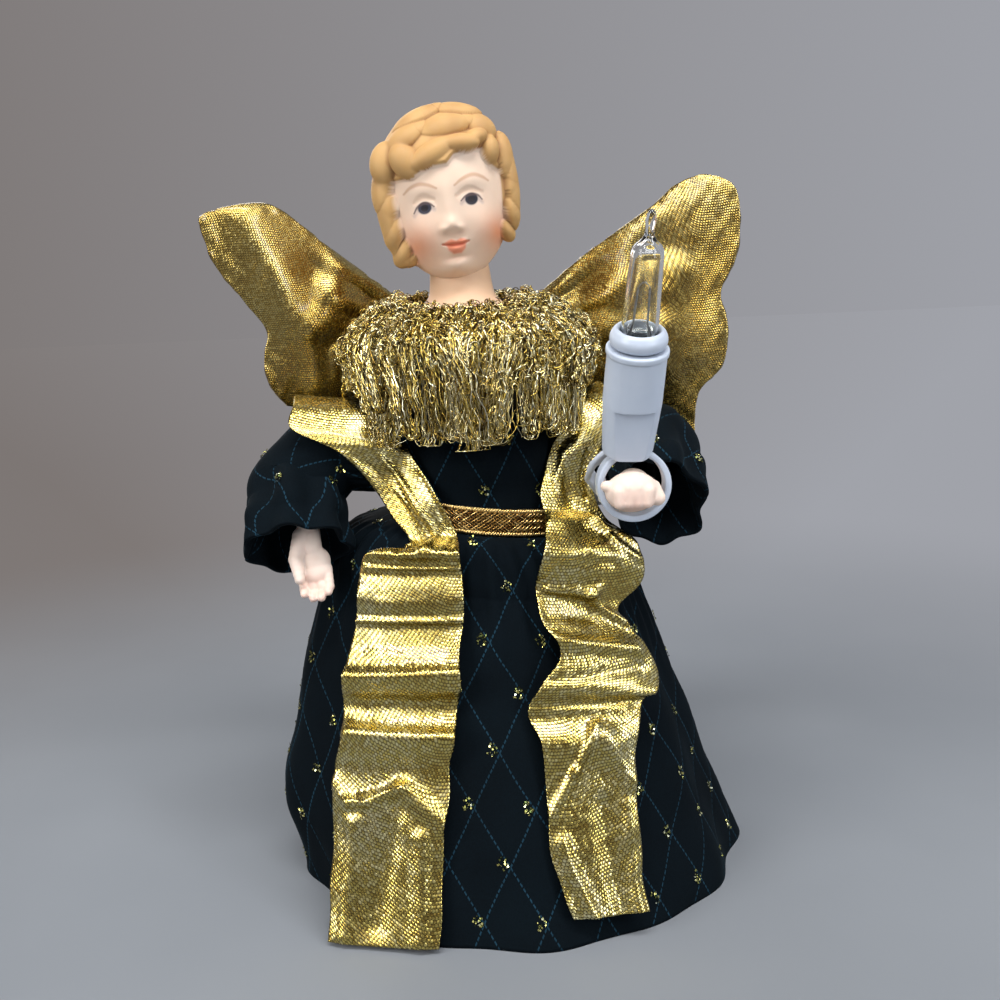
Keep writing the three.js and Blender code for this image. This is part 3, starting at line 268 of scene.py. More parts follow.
def grid_piece(name, grid, material, uv=None, ring_rows=False, ring_columns=False, flip=False, colours=None):
    """A grid of points as one surface. Where it is a ring, uv has one more row or column than the grid."""
    rows, columns = grid.shape[:2]
    i, j = grid_corners(rows, columns, ring_rows, ring_columns, flip)
    faces = (i % rows) * columns + j % columns
    corner_uv = None if uv is None else uv[i, j]
    flat = None if colours is None else colours.reshape(-1, 3)
    return mesh_piece(name, grid.reshape(-1, 3), faces, material, corner_uv, flat)


def wrap_uv(uv):
    """The last row of a ring of rows repeats the first."""
    return np.concatenate([uv, uv[:1]])


def shell_piece(name, outer, inner, material, uv, flip=False):
    """A wall between two stacks of closed loops, open at both ends. uv has one more column than the loops."""
    grid = np.concatenate([outer, inner[::-1]])
    full = wrap_uv(np.concatenate([uv, uv[::-1]]))
    return grid_piece(name, grid, material, full, ring_rows=True, ring_columns=True, flip=flip)


def cloth_piece(name, grid, half, material, uv, normals=None):
    """A sheet: a grid of middle points with a thickness, closed round its rim."""
    rows, columns = grid.shape[:2]
    n = grid_normals(grid) if normals is None else normals
    half = np.broadcast_to(np.asarray(half, float), (rows, columns))[..., None]
    points = np.concatenate([(grid + n * half).reshape(-1, 3), (grid - n * half).reshape(-1, 3)])
    i, j = grid_corners(rows, columns, False, False, False)
    front = i * columns + j
    back = (front + rows * columns)[:, ::-1]
    rim = np.concatenate([
        np.arange(columns), np.arange(1, rows) * columns + columns - 1,
        (rows - 1) * columns + np.arange(columns - 2, -1, -1), np.arange(rows - 2, 0, -1) * columns])
    after = np.roll(rim, -1)
    side = np.stack([rim, rim + rows * columns, after + rows * columns, after], -1)
    faces = np.concatenate([front, back, side])
    flat_uv = uv.reshape(-1, 2)
    corner_uv = flat_uv[faces % (rows * columns)]
    return mesh_piece(name, points, faces, material, corner_uv)


def tube_points(paths, radius, sides, flat_share=1.0):
    """Round or flattened tubes along paths of as many steps each: points, faces, and how many points each
    tube has."""
    paths = np.asarray(paths, float)
    count, steps = paths.shape[:2]
    along = unit(np.gradient(paths, axis=1))
    helper = np.where(np.abs(along[..., 2:3]) < 0.9, [[[0, 0, 1.0]]], [[[1.0, 0, 0]]])
    side = unit(np.cross(along, helper))
    other = np.cross(side, along)
    angle = ring_angles(sides)
    r = np.broadcast_to(np.asarray(radius, float), (count, steps))[..., None, None]
    rings = (paths[:, :, None] + r * np.cos(angle)[:, None] * side[:, :, None]
             + flat_share * r * np.sin(angle)[:, None] * other[:, :, None])
    points = rings.reshape(-1, 3)
    i, j = grid_corners(steps, sides, False, True, False)
    one = i * sides + j % sides
    faces = (one[None] + (np.arange(count) * steps * sides)[:, None, None]).reshape(-1, 4)
    return points, faces, steps * sides


def tubes_piece(name, paths, radius, sides, material, flat_share=1.0):
    points, faces, per_tube = tube_points(paths, radius, sides, flat_share)
    faces = faces.tolist()
    caps = np.arange(sides)
    for k in range(len(paths)):
        start = k * per_tube
        faces.append((start + caps).tolist())
        faces.append((start + per_tube - 1 - caps).tolist())
    return mesh_piece(name, points, faces, material)


def lathe_grid(profile, sides, clip=None):
    """Loops of a turned profile of (radius, z) rows; clip cuts two flats at that y."""
    profile = np.asarray(profile, float)
    a = ring_angles(sides)
    grid = np.stack([
        profile[:, :1] * np.cos(a), profile[:, :1] * np.sin(a),
        np.broadcast_to(profile[:, 1:2], (len(profile), sides))], -1)
    if clip is not None:
        depth = np.broadcast_to(np.asarray(clip, float), (len(profile),))[:, None]
        grid[..., 1] = np.clip(grid[..., 1], -depth, depth)
    return grid


def round_profile(profile, radius=0.25, steps=4):
    """A profile with its corners rounded by small arcs."""
    profile = [np.asarray(p, float) for p in profile]
    made = [profile[0]]
    for before, corner, after in zip(profile, profile[1:], profile[2:]):
        back, on = before - corner, after - corner
        reach = min(radius, 0.45 * np.linalg.norm(back), 0.45 * np.linalg.norm(on))
        start, end = corner + reach * unit(back), corner + reach * unit(on)
        for t in np.linspace(0, 1, steps + 1):
            made.append((1 - t) ** 2 * start + 2 * t * (1 - t) * corner + t * t * end)
    made.append(profile[-1])
    return np.array(made)


def on_lamp(grid):
    """From the lamp's own axis to the figure."""
    x, y, z = grid[..., 0], grid[..., 1], grid[..., 2]
    c, s = math.cos(lamp.lean), math.sin(lamp.lean)
    y, z = y * c - z * s, y * s + z * c
    c, s = math.cos(lamp.tilt), math.sin(lamp.tilt)
    return np.stack([x * c + z * s + lamp.x, y + lamp.y, -x * s + z * c + lamp.bottom_z], -1)


def clay(name, lumps, voxel, smoothing, material):
    """Overlapping ellipsoids melted into one smooth body. A lump is (centre, radii, turn matrix)."""
    rows, columns = 15, 24
    a = ring_angles(columns)
    e = np.linspace(-math.pi / 2, math.pi / 2, rows)
    ball = np.stack([np.cos(e)[:, None] * np.cos(a), np.cos(e)[:, None] * np.sin(a),
                     np.broadcast_to(np.sin(e)[:, None], (rows, columns))], -1)
    points, faces = [], []
    i, j = grid_corners(rows, columns, False, True, False)
    for centre, radii, turn in lumps:
        faces.append(i * columns + j % columns + sum(len(p) for p in points))
        points.append(((ball * radii).reshape(-1, 3) @ np.asarray(turn).T) + centre)
    piece = mesh_piece(name, np.concatenate(points), np.concatenate(faces), material)
    remesh = piece.modifiers.new("melt", "REMESH")
    remesh.mode = "VOXEL"
    remesh.voxel_size = voxel * MM
    remesh.use_smooth_shade = True
    smooth = piece.modifiers.new("smooth", "SMOOTH")
    smooth.factor = 0.5
    smooth.iterations = smoothing
    return apply_modifiers(piece)


def apply_modifiers(piece):
    bpy.context.view_layer.update()
    made = bpy.data.meshes.new_from_object(piece.evaluated_get(bpy.context.evaluated_depsgraph_get()))
    piece.modifiers.clear()
    piece.data = made
    made.shade_smooth()
    return piece


# Materials.
class Finish:
    """A procedural material: short calls that add nodes and return their outputs."""

    def __init__(self, name, world=None, **values):
        self.material = world or bpy.data.materials.new(name)
        self.material.use_nodes = True
        self.nodes = self.material.node_tree.nodes
        self.links = self.material.node_tree.links
        self.shader = self.nodes["Background" if world else "Principled BSDF"]
        for key, value in values.items():
            self.shader.inputs[key.replace("_", " ")].default_value = value

    def node(self, kind, inputs=(), **settings):
        made = self.nodes.new("ShaderNode" + kind)
        for key, value in settings.items():
            setattr(made, key, value)
        for key, value in dict(inputs).items():
            if isinstance(value, bpy.types.NodeSocket):
                self.links.new(value, made.inputs[key])
            else:
                made.inputs[key].default_value = value
        return made

    def calc(self, operation, a, b=0.0, c=0.0):
        return self.node("Math", {0: a, 1: b, 2: c}, operation=operation).outputs[0]

    def weighed(self, a, share, b, other_share):
        return self.calc("ADD", self.calc("MULTIPLY", a, share), self.calc("MULTIPLY", b, other_share))

    def vector(self, operation, a, b=(0, 0, 0)):
        return self.node("VectorMath", {0: a, 1: b}, operation=operation).outputs[0]

    def scaled(self, a, scale):
        return self.node("VectorMath", {0: a, "Scale": scale}, operation="SCALE").outputs[0]

    def places(self):
        return self.node("TexCoord").outputs["Object"]

    def noise(self, scale, detail=3, roughness=0.5, where=None):
        inputs = {"Vector": where or self.places(), "Scale": scale, "Detail": detail, "Roughness": roughness}
        return self.node("TexNoise", inputs).outputs["Fac"]

    def ramp(self, factor, *stops):
        made = self.node("ValToRGB", {"Fac": factor})
        elements = made.color_ramp.elements
        while len(elements) < len(stops):
            elements.new(0.5)
        for element, (place, colour) in zip(elements, stops):
            element.position = place
            element.color = (*colour, 1) if len(colour) == 3 else colour
        return made.outputs["Color"]

    def blend(self, factor, a, b):
        made = self.node("Mix", {"Factor": factor}, data_type="RGBA")
        for index, value in ((6, a), (7, b)):
            if isinstance(value, bpy.types.NodeSocket):
                self.links.new(value, made.inputs[index])
            else:
                made.inputs[index].default_value = (*value, 1)
        return made.outputs[2]

    def span(self, value, low, high, to_low=0.0, to_high=1.0):
        inputs = {"Value": value, "From Min": low, "From Max": high, "To Min": to_low, "To Max": to_high}
        return self.node("MapRange", inputs).outputs["Result"]

    def bump(self, height, distance, strength=1.0, normal=None):
        inputs = {"Height": height, "Distance": distance * MM, "Strength": strength}
        if normal:
            inputs["Normal"] = normal
        return self.node("Bump", inputs).outputs["Normal"]

    def set(self, **sockets):
        for key, value in sockets.items():
            self.links.new(value, self.shader.inputs[key.replace("_", " ")])
        return self.material


def lame_finish(name, dark, gold, bright, pitch, tilt=0.1):
    """Woven metal cloth: rows of small rounded floats, each tipped its own way, with dark gaps between."""
    f = Finish(name, Metallic=1.0, Coat_Weight=0.5, Coat_Roughness=0.14)
    uv = f.node("UVMap", uv_map="cloth").outputs["UV"]
    parts = f.node("SeparateXYZ", {0: f.scaled(uv, 1 / pitch)}).outputs
    level = f.calc("FLOOR", parts["Y"])
    across = f.calc("MULTIPLY_ADD", level, 0.5, parts["X"])
    cell = f.node("CombineXYZ", {"X": f.calc("FLOOR", across), "Y": level}).outputs[0]
    in_x = f.calc("SINE", f.calc("MULTIPLY", f.calc("FRACT", across), math.pi))
    in_y = f.calc("SINE", f.calc("MULTIPLY", f.calc("FRACT", parts["Y"]), math.pi))
    height = f.calc("POWER", f.calc("MULTIPLY", in_x, in_y), 0.7)
    chance = f.node("TexWhiteNoise", {"Vector": cell}, noise_dimensions="3D")
    tipped = f.scaled(f.vector("SUBTRACT", chance.outputs["Color"], (0.5, 0.5, 0.5)), tilt)
    surface = f.node("NewGeometry").outputs["Normal"]
    normal = f.vector("NORMALIZE", f.vector("ADD", surface, tipped))
    shade = f.weighed(chance.outputs["Value"], 0.3, f.noise(70, 2), 0.7)
    metal = f.ramp(shade, (0.22, dark), (0.5, gold), (0.78, bright))
    colour = f.blend(f.span(height, 0.08, 0.68), tuple(0.22 * c for c in dark), metal)
    rough = f.span(chance.outputs["Value"], 0, 1, 0.17, 0.3)
    return f.set(Base_Color=colour, Roughness=rough, Normal=f.bump(height, 0.09, 0.5, normal))


def velvet_finish():
    """Near-black blue-green velvet, with the lattice sewn over it in dull blue thread."""
    f = Finish("velvet", Sheen_Weight=0.025, Sheen_Roughness=0.3, Sheen_Tint=(0.2, 0.5, 0.7, 1),
               Roughness=0.9, Specular_IOR_Level=0.08)
    pile = f.noise(4200, 2)
    nap = f.noise(90, 3)
    cloth = f.ramp(f.weighed(pile, 0.5, nap, 0.5), (0.3, (0.001, 0.0025, 0.004)),
                   (0.7, (0.002, 0.0055, 0.0085)))
    uv = f.node("UVMap", uv_map="cloth").outputs["UV"]
    wander = f.scaled(f.node("TexNoise", {"Vector": f.places(), "Scale": 60.0}).outputs["Color"], 0.6)
    parts = f.node("SeparateXYZ", {0: f.vector("ADD", uv, wander)}).outputs
    u = f.calc("DIVIDE", parts["X"], lattice.width)
    v = f.calc("DIVIDE", parts["Y"], lattice.height)
    rise = math.hypot(1 / lattice.width, 1 / lattice.height)
    lines = []
    for sign in (1, -1):
        p = f.calc("MULTIPLY_ADD", v, sign, u)
        q = f.calc("MULTIPLY_ADD", v, -sign, u)
        apart = f.calc("DIVIDE", f.calc("ABSOLUTE", f.calc("SUBTRACT", p, f.calc("ROUND", p))), rise)
        dash = f.calc("LESS_THAN", f.calc("FRACT", f.calc("MULTIPLY", q, 11)), 0.68)
        lines.append(f.calc("MULTIPLY", f.span(apart, 0.1, 0.17, 1, 0), dash))
    thread = f.calc("MAXIMUM", *lines)
    shown = f.calc("MULTIPLY", thread, f.span(nap, 0.3, 0.7, 0.45, 1))
    height = f.calc("MULTIPLY_ADD", thread, 1.2, pile)
    return f.set(Base_Color=f.blend(shown, cloth, (0.012, 0.042, 0.068)), Normal=f.bump(height, 0.06, 0.5))


def strand_finish(name, dark, gold, pale, roughness=0.3):
    """Metal thread: every strand has its own shade."""
    f = Finish(name, Metallic=1.0)
    chance = f.node("NewGeometry").outputs["Random Per Island"]
    along = f.noise(700, 2)
    shade = f.weighed(chance, 0.8, along, 0.25)
    colour = f.ramp(shade, (0.18, dark), (0.48, gold), (0.88, pale))
    rough = f.span(along, 0.3, 0.7, roughness - 0.08, roughness + 0.12)
    return f.set(Base_Color=colour, Roughness=rough, Normal=f.bump(f.noise(2600, 2), 0.05, 0.5))


def bisque_finish():
    f = Finish("bisque", Roughness=0.62, Specular_IOR_Level=0.35, Subsurface_Weight=0.08,
               Subsurface_Scale=0.0008)
    f.shader.inputs["Subsurface Radius"].default_value = (1.0, 0.5, 0.35)
    paint = f.node("Attribute", attribute_name="paint").outputs["Color"]
    mottle = f.noise(700, 4)
    colour = f.blend(f.span(mottle, 0.35, 0.75, 0, 0.06), paint, (0.55, 0.4, 0.32))
    return f.set(Base_Color=colour, Normal=f.bump(f.noise(3200, 3), 0.02, 0.35))


def plain_finish(name, dark, pale, scale, relief, roughness, stretch=(1, 1, 1), **values):
    """A surface with mottled colour, roughness and relief at one scale, drawn out where stretch says."""
    f = Finish(name, **values)
    where = f.vector("MULTIPLY", f.places(), stretch)
    grain = f.noise(scale, 4, where=where)
    rough = f.span(f.noise(scale * 0.4, 2, where=where), 0.3, 0.7, *roughness)
    return f.set(Base_Color=f.ramp(grain, (0.3, dark), (0.7, pale)), Roughness=rough,
                 Normal=f.bump(grain, relief, 0.6))


def glass_finish():
    f = Finish("clear_glass", Transmission_Weight=1.0, IOR=1.45, Base_Color=(0.97, 0.98, 0.97, 1))
    streaks = f.noise(260, 2)
    return f.set(Roughness=f.span(streaks, 0.35, 0.75, 0.0, 0.06), Normal=f.bump(f.noise(140, 2), 0.03, 0.25))


def glitter_finish():
    f = Finish("glitter_dots", Metallic=0.9, Roughness=0.25)
    chance = f.node("NewGeometry").outputs["Random Per Island"]
    colour = f.ramp(chance, (0.1, (0.05, 0.07, 0.02)), (0.45, (0.36, 0.36, 0.1)), (0.8, (0.75, 0.7, 0.25)),
                    (0.97, (0.9, 0.95, 0.7)))
    return f.set(Base_Color=colour, Normal=f.bump(f.noise(3000, 2), 0.04, 0.4))


finishes = Sizes(
    ribbon_lame=lame_finish("ribbon_lame", (0.48, 0.32, 0.06), (0.72, 0.58, 0.16), (0.92, 0.85, 0.48), 0.6),
    wing_lame=lame_finish("wing_lame", (0.46, 0.29, 0.06), (0.6, 0.43, 0.11), (0.76, 0.62, 0.24), 0.46),
    velvet=velvet_finish(),
    fringe=strand_finish("gold_fringe", (0.12, 0.07, 0.015), (0.82, 0.64, 0.17), (1.0, 0.96, 0.7), 0.17),
    # Near-black base under the collar's strands and behind the braid's threads: its colour is painted shade
    # that shows in the gaps.
    fringe_base=plain_finish("fringe_base", (0.004, 0.003, 0.002), (0.03, 0.02, 0.006), 900, 0.2, (0.5, 0.8),
                             Metallic=0.5),
    braid=strand_finish("gold_braid", (0.16, 0.07, 0.02), (0.5, 0.3, 0.08), (0.9, 0.66, 0.28), 0.24),
    bisque=bisque_finish(),
    white=plain_finish("white_plastic", (0.5, 0.565, 0.67), (0.53, 0.59, 0.69), 260, 0.01, (0.3, 0.42),
                       Specular_IOR_Level=0.45),
    lead=plain_finish("white_lead", (0.5, 0.54, 0.62), (0.56, 0.6, 0.67), 420, 0.02, (0.45, 0.6)),
    steel=plain_finish("steel_wire", (0.3, 0.29, 0.28), (0.5, 0.49, 0.47), 700, 0.02, (0.3, 0.55),
                       Metallic=1.0),
    brass=plain_finish("brass", (0.5, 0.33, 0.11), (0.7, 0.5, 0.2), 600, 0.02, (0.25, 0.5),
                       stretch=(1, 1, 0.15), Metallic=1.0),
    card=plain_finish("card", (0.3, 0.22, 0.13), (0.46, 0.36, 0.23), 650, 0.08, (0.8, 0.95),
                      stretch=(1, 1, 0.3)),
    stuffing=plain_finish("stuffing", (0.6, 0.58, 0.53), (0.8, 0.78, 0.73), 500, 0.4, (0.85, 1.0)),
    glass=glass_finish(),
    glitter=glitter_finish(),
)

# Dress: level, half width and half depth of the bodice, then the lines that the pieces follow.
BODICE_TABLE = [
    [braid.z, bodice.waist_x, bodice.waist_y],
    [bodice.chest_z, bodice.chest_x, bodice.chest_y],
    [bodice.top_z, bodice.shoulder_x, bodice.shoulder_y],
]
SKIRT_TOP = braid.z - braid.height / 2
SKIRT_TOP_X = bodice.waist_x + braid.thickness
SKIRT_TOP_Y = bodice.waist_y + braid.thickness


def waist_z(x):
    return braid.z - braid.slope_share * (x - line_x(braid.z))


def skirt_top_z(x):
    return waist_z(x) - braid.height / 2


def skirt_radii(z):
    low = np.clip(z / skirt.hip_z, 0, 1)
    t = np.clip((z - skirt.hip_z) / (SKIRT_TOP - skirt.hip_z), 0, 1)
    turned = np.sqrt(1 - t * t)
    flared = z <= skirt.hip_z
    x = np.where(flared, mix(skirt.hem_x, skirt.hip_x, low), mix(SKIRT_TOP_X, skirt.hip_x, turned))
    y = np.where(flared, mix(skirt.hem_y, skirt.hip_y, low), mix(SKIRT_TOP_Y, skirt.hip_y, turned))
    return x, y


def hem_share(z):
    return np.clip(1 - z / SKIRT_TOP, 0, 1)


def skirt_fold(a, z):
    share = hem_share(z)
    depth = skirt.fold_depth * np.sqrt(share) * (0.7 + 0.3 * np.sin(a))
    wave = 0.6 * np.cos(skirt.fold_count * a + 0.4) + 0.4 * np.cos((skirt.fold_count + 5) * a + 1.9)
    side = np.exp(-(((a - math.pi) / 0.75) ** 2))
    bulge = skirt.side_bulge * np.sin(math.pi * np.clip(share * 0.9, 0, 1)) * side
    return depth * wave + bulge - skirt.hem_tuck * ease((share - 0.8) / 0.2) * side


def dress_front(x, z):
    def spread(radii):
        u = np.minimum(np.abs((x - line_x(z)) / radii[0]), 0.97)
        return -radii[1] * np.sqrt(1 - u * u)

    top = skirt_top_z(x)
    rx, ry = skirt_radii(z)
    fold = skirt.fold_depth * np.sqrt(hem_share(z)) * 0.45
    on_skirt = spread((rx + fold, ry + fold))
    on_bodice = np.where(z < top + braid.height + braid.thickness,
                         spread((SKIRT_TOP_X, SKIRT_TOP_Y)), spread(radii_at(BODICE_TABLE, z)))
    reach = shoulder.cap_radius + ribbon.clearance
    rise = np.minimum(np.abs(z - shoulder.z) / reach, 1)
    cap_front = shoulder.y - reach * np.sqrt(1 - rise * rise)
    beyond = np.abs(x - line_x(z)) - shoulder.reach + ribbon.fold_depth * 2
    on_cap = ease(beyond / (ribbon.fold_depth * 1.6))
    above = np.minimum(on_bodice, mix(on_bodice, cap_front, on_cap))
    return np.where(z < top, on_skirt, above)


def loops_uv(grid, start_column=0):
    """Cloth lengths on a stack of closed loops: round each loop from start_column, and up the stack."""
    columns = grid.shape[1]
    closed = np.concatenate([grid, grid[:, :1]], 1)
    u = lengths_along(closed, 1)
    u = u - u[:, start_column:start_column + 1]
    v = lengths_along(grid, 0)
    v = np.broadcast_to(v.mean(1, keepdims=True), (len(grid), columns + 1))
    return np.stack([u, v], -1)


def lattice_uv(grid, shift):
    """Cloth lengths counted both ways from the front, shifted to where the lattice lies."""
    uv = loops_uv(grid)
    around = uv[:, -1:, 0]
    uv[..., 0] = np.where(uv[..., 0] > around / 2, uv[..., 0] - around, uv[..., 0])
    return uv + shift


def quilting(uv):
    """How far the velvet stands proud: 0 on the lattice lines, 1 midway between them."""
    u, v = uv[..., 0] / lattice.width, uv[..., 1] / lattice.height
    return np.abs(np.sin(math.pi * (u + v)) * np.sin(math.pi * (u - v))) ** quilt.sharpness


def glitter_dots(name, grid, normals, uv, seed, margin=3):
    """Clusters of small tilted flakes beside each crossing of the lattice."""
    rng = np.random.default_rng(seed)
    flat_uv, points, n = uv.reshape(-1, 2), grid.reshape(-1, 3), normals.reshape(-1, 3)
    along_u = unit(np.gradient(grid, axis=1)).reshape(-1, 3)
    low, high = flat_uv.min(0) + margin, flat_uv.max(0) - margin
    half_w, half_h = lattice.width / 2, lattice.height / 2
    corners = []
    for m in range(int(low[0] / half_w) - 1, int(high[0] / half_w) + 2):
        for k in range(int(low[1] / half_h) - 1, int(high[1] / half_h) + 2):
            centre = np.array([m * half_w - lattice.dot_aside, k * half_h + lattice.dot_up])
            if (m + k) % 2 or np.any(centre < low) or np.any(centre > high):
                continue
            apart = ((flat_uv - centre) ** 2).sum(1)
            best = int(apart.argmin())
            if apart[best] > 0.5:
                continue
            u_axis = along_u[best]
            v_axis = np.cross(n[best], u_axis)
            angle = rng.uniform(0, TAU, flake.per_dot)
            reach = lattice.dot_radius * np.sqrt(rng.uniform(0, 1, flake.per_dot))
            for a, r in zip(angle, reach):
                place = points[best] + r * (math.cos(a) * u_axis + 1.25 * math.sin(a) * v_axis)
                tilt = unit(n[best] + rng.normal(0, flake.tilt, 3))
                side = unit(np.cross(tilt, rng.normal(0, 1, 3)))
                other = np.cross(tilt, side)
                size = rng.uniform(flake.least, flake.most)
                place = place + n[best] * rng.uniform(flake.lowest, flake.highest)
                corners.append([place + size * (sx * side + sy * other)
                                for sx, sy in ((1, 0.2), (0.2, 1), (-1, 0.1), (-0.1, -1))])
    faces = np.arange(4 * len(corners)).reshape(-1, 4)
    return mesh_piece(name, np.concatenate(corners), faces, finishes.glitter)


def make_skirt():
    columns, rows = 640, 150
    a = angles_from_front(columns)
    shares = 1 - (1 - np.linspace(0, 1, rows)) ** 1.35
    aa, ss = np.meshgrid(a, shares)
    level = ss * SKIRT_TOP
    rx, ry = skirt_radii(level)
    gathers = 0.32 * ease((level - 34) / 26) * np.cos(46 * aa + 2 * np.sin(3 * aa))
    crumple = 0.35 * hem_share(level) ** 0.5 * ripple(aa * 30, level, 17, 5)
    fold = skirt_fold(aa, level) + gathers * ease((SKIRT_TOP - level) / 2) + crumple

    def points(inset):
        x = line_x(level) + (rx + fold - inset) * np.cos(aa)
        z = ss * (skirt_top_z(x) - GAP)
        return np.stack([x, (ry + fold - inset) * np.sin(aa), z], -1)

    outer = points(0)
    uv = lattice_uv(outer, (0.6, 5.3))
    normals = loop_normals(outer)
    outer = outer + normals * (quilt.skirt * (quilting(uv[:, :-1]) - 0.5) * ease(level / 3))[..., None]
    inner = points(skirt.velvet * 0.6)
    piece = shell_piece("skirt_velvet", outer, inner, finishes.velvet, uv)
    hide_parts("skirt")
    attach(piece, "figure")
    dots = glitter_dots("skirt_dots", outer, normals, uv[:, :-1], 11)
    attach(dots, "figure")


def make_bodice():
    columns, rows = 420, 80
    a = angles_from_front(columns)
    t = np.linspace(0, 1, rows)
    aa, tt = np.meshgrid(a, t)
    z = mix(braid.z, bodice.top_z, tt)
    rx, ry = radii_at(BODICE_TABLE, z)
    crumple = 0.25 * ripple(aa * 16, z, 9, 21) * np.sin(math.pi * tt)
    fold = crumple + 0.12 * np.cos(38 * aa) * ease(1 - tt * 4)

    def points(inset):
        x = line_x(z) + (rx + fold - inset) * np.cos(aa)
        bottom = waist_z(x) - braid.height / 2 + GAP
        return np.stack([x, (ry + fold - inset) * np.sin(aa), mix(bottom, bodice.top_z, tt)], -1)

    outer = points(0.05)
    uv = lattice_uv(outer, (3.2, 2.0))
    normals = loop_normals(outer)
    outer = outer + normals * (quilt.bodice * (quilting(uv[:, :-1]) - 0.7))[..., None]
    piece = shell_piece("bodice_velvet", outer, points(bodice.velvet * 0.7), finishes.velvet, uv)
    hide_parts("bodice")
    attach(piece, "figure")
    dots = glitter_dots("bodice_dots", outer, normals, uv[:, :-1], 12)
    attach(dots, "figure")


def carried(centres, half_a, half_b, first_axis, sides, wave):
    """Loops of an oval section carried along a path without twist."""
    centres = np.asarray(centres, float)
    angle = ring_angles(sides)
    axis = np.asarray(first_axis, float)
    loops = []
    for i, centre in enumerate(centres):
        direction = unit(centres[min(i + 1, len(centres) - 1)] - centres[max(i - 1, 0)])
        axis = unit(axis - direction * axis.dot(direction))
        other = np.cross(direction, axis)
        w = wave(angle, i / (len(centres) - 1))
        loops.append(centre + ((half_a[i] + w) * np.cos(angle))[:, None] * axis
                     + ((half_b[i] + w) * np.sin(angle))[:, None] * other)
    return np.array(loops)


def sleeve_sections(side, mouth):
    root = np.array([line_x(shoulder.z) + side * (shoulder.reach + GAP), shoulder.y, shoulder.z])
    radius = shoulder.cap_radius
    cap_end = root + [side * radius, 0, 0]
    centre = np.array([mouth.x, mouth.y, mouth.z])
    outer_x = mouth.x + side * mouth.half_width
    elbow = np.array([mix(cap_end[0], outer_x, 0.5), mix(root[1], mouth.y, 0.2),
                      mix(root[2], mouth.z, mouth.droop)])
    fore = np.array([mix(elbow[0], mouth.x, 0.6), mix(root[1], mouth.y, 0.52), mix(elbow[2], mouth.z, 0.3)])
    late = (fore + centre) / 2

    def section(place, start, share):
        return [*place, mix(start, mouth.half_width, share), mix(start, mouth.half_height, share)]

    outer = [section(root, radius, 0), section((root + cap_end) / 2, radius, 0),
             section(cap_end, radius * 1.02, 0), section(elbow, radius, 0.3), section(fore, radius, 0.75),
             section(late, radius, 0.88), section(centre, radius, 1)]
    bore = sleeve.bore_radius
    inner = [section(made[:3], bore, 0) for made in outer[:-2]]
    inner.append(section(late, bore, 0.5))
    wall = sleeve.velvet * 0.7
    inner.append([*centre, mouth.half_width - wall, mouth.half_height - wall])
    return outer, inner


def make_sleeve(name, side, mouth, body, seed):
    outer_rows, inner_rows = sleeve_sections(side, mouth)
    rows, columns = 110, 300

    def wave(a, t):
        folds = sleeve.fold_depth * ease((t - 0.35) / 0.5) * np.cos(sleeve.fold_count * a)
        soft = 0.35 * ease(t / 0.3) * ripple(a * 9, t * 34 * np.ones_like(a), 11, seed)
        gathers = 0.28 * ease(1 - t / 0.3) * np.cos(26 * a + 1.5 * np.sin(2 * a))
        return folds + soft + gathers

    def inner_wave(a, t):
        return wave(a, t) * ease((t - 0.8) / 0.2)

    first = (0, 0.7, 0.7)
    outer_path = catmull(outer_rows, rows)
    inner_path = catmull(inner_rows, rows)
    outer = carried(outer_path[:, :3], outer_path[:, 3], outer_path[:, 4], first, columns, wave)
    inner = carried(inner_path[:, :3], inner_path[:, 3], inner_path[:, 4], first, columns, inner_wave)
    uv = loops_uv(outer, columns // 2)
    normals = loop_normals(outer)
    outer = outer + normals * (quilt.sleeve * (quilting(uv[:, :-1]) - 0.7))[..., None]
    piece = shell_piece(name + "_velvet", outer, inner, finishes.velvet, uv)
    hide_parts(name)
    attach(piece, body)
    dots = glitter_dots(name + "_dots", outer, normals, uv[:, :-1], seed)
    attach(dots, body)


# Ribbons: rows of [inner x, inner z, outer x, outer z, forward], as shares of the skirt's half width, the
# shoulder's height and the fold depth.
RIGHT_RIBBON_SHARES = [
    [-0.343, 1.092, -0.668, 1.076, 0], [-0.248, 1.027, -0.470, 1.005, 0],
    [-0.182, 0.9843, -0.371, 0.9367, 0.2], [-0.088, 0.8962, -0.275, 0.861, 0.2],
    [-0.030, 0.8275, -0.215, 0.8064, 0.6], [-0.018, 0.7959, -0.390, 0.7959, 2.2],
    [-0.016, 0.7624, -0.410, 0.7659, 0.4], [-0.016, 0.7008, -0.420, 0.7043, 1.5],
    [-0.018, 0.6374, -0.437, 0.648, 0.3], [-0.031, 0.5828, -0.468, 0.5846, 1.4],
    [-0.040, 0.5282, -0.488, 0.5335, 1.7], [-0.055, 0.4719, -0.495, 0.4719, 0.1],
    [-0.064, 0.412, -0.519, 0.4103, 1.3], [-0.088, 0.361, -0.536, 0.3521, 0.3],
    [-0.108, 0.2905, -0.549, 0.2782, 0.4], [-0.127, 0.1937, -0.558, 0.1796, 0],
    [-0.143, 0.09508, -0.571, 0.07395, 0], [-0.154, 0.01321, -0.578, 0.01056, 0.2],
]
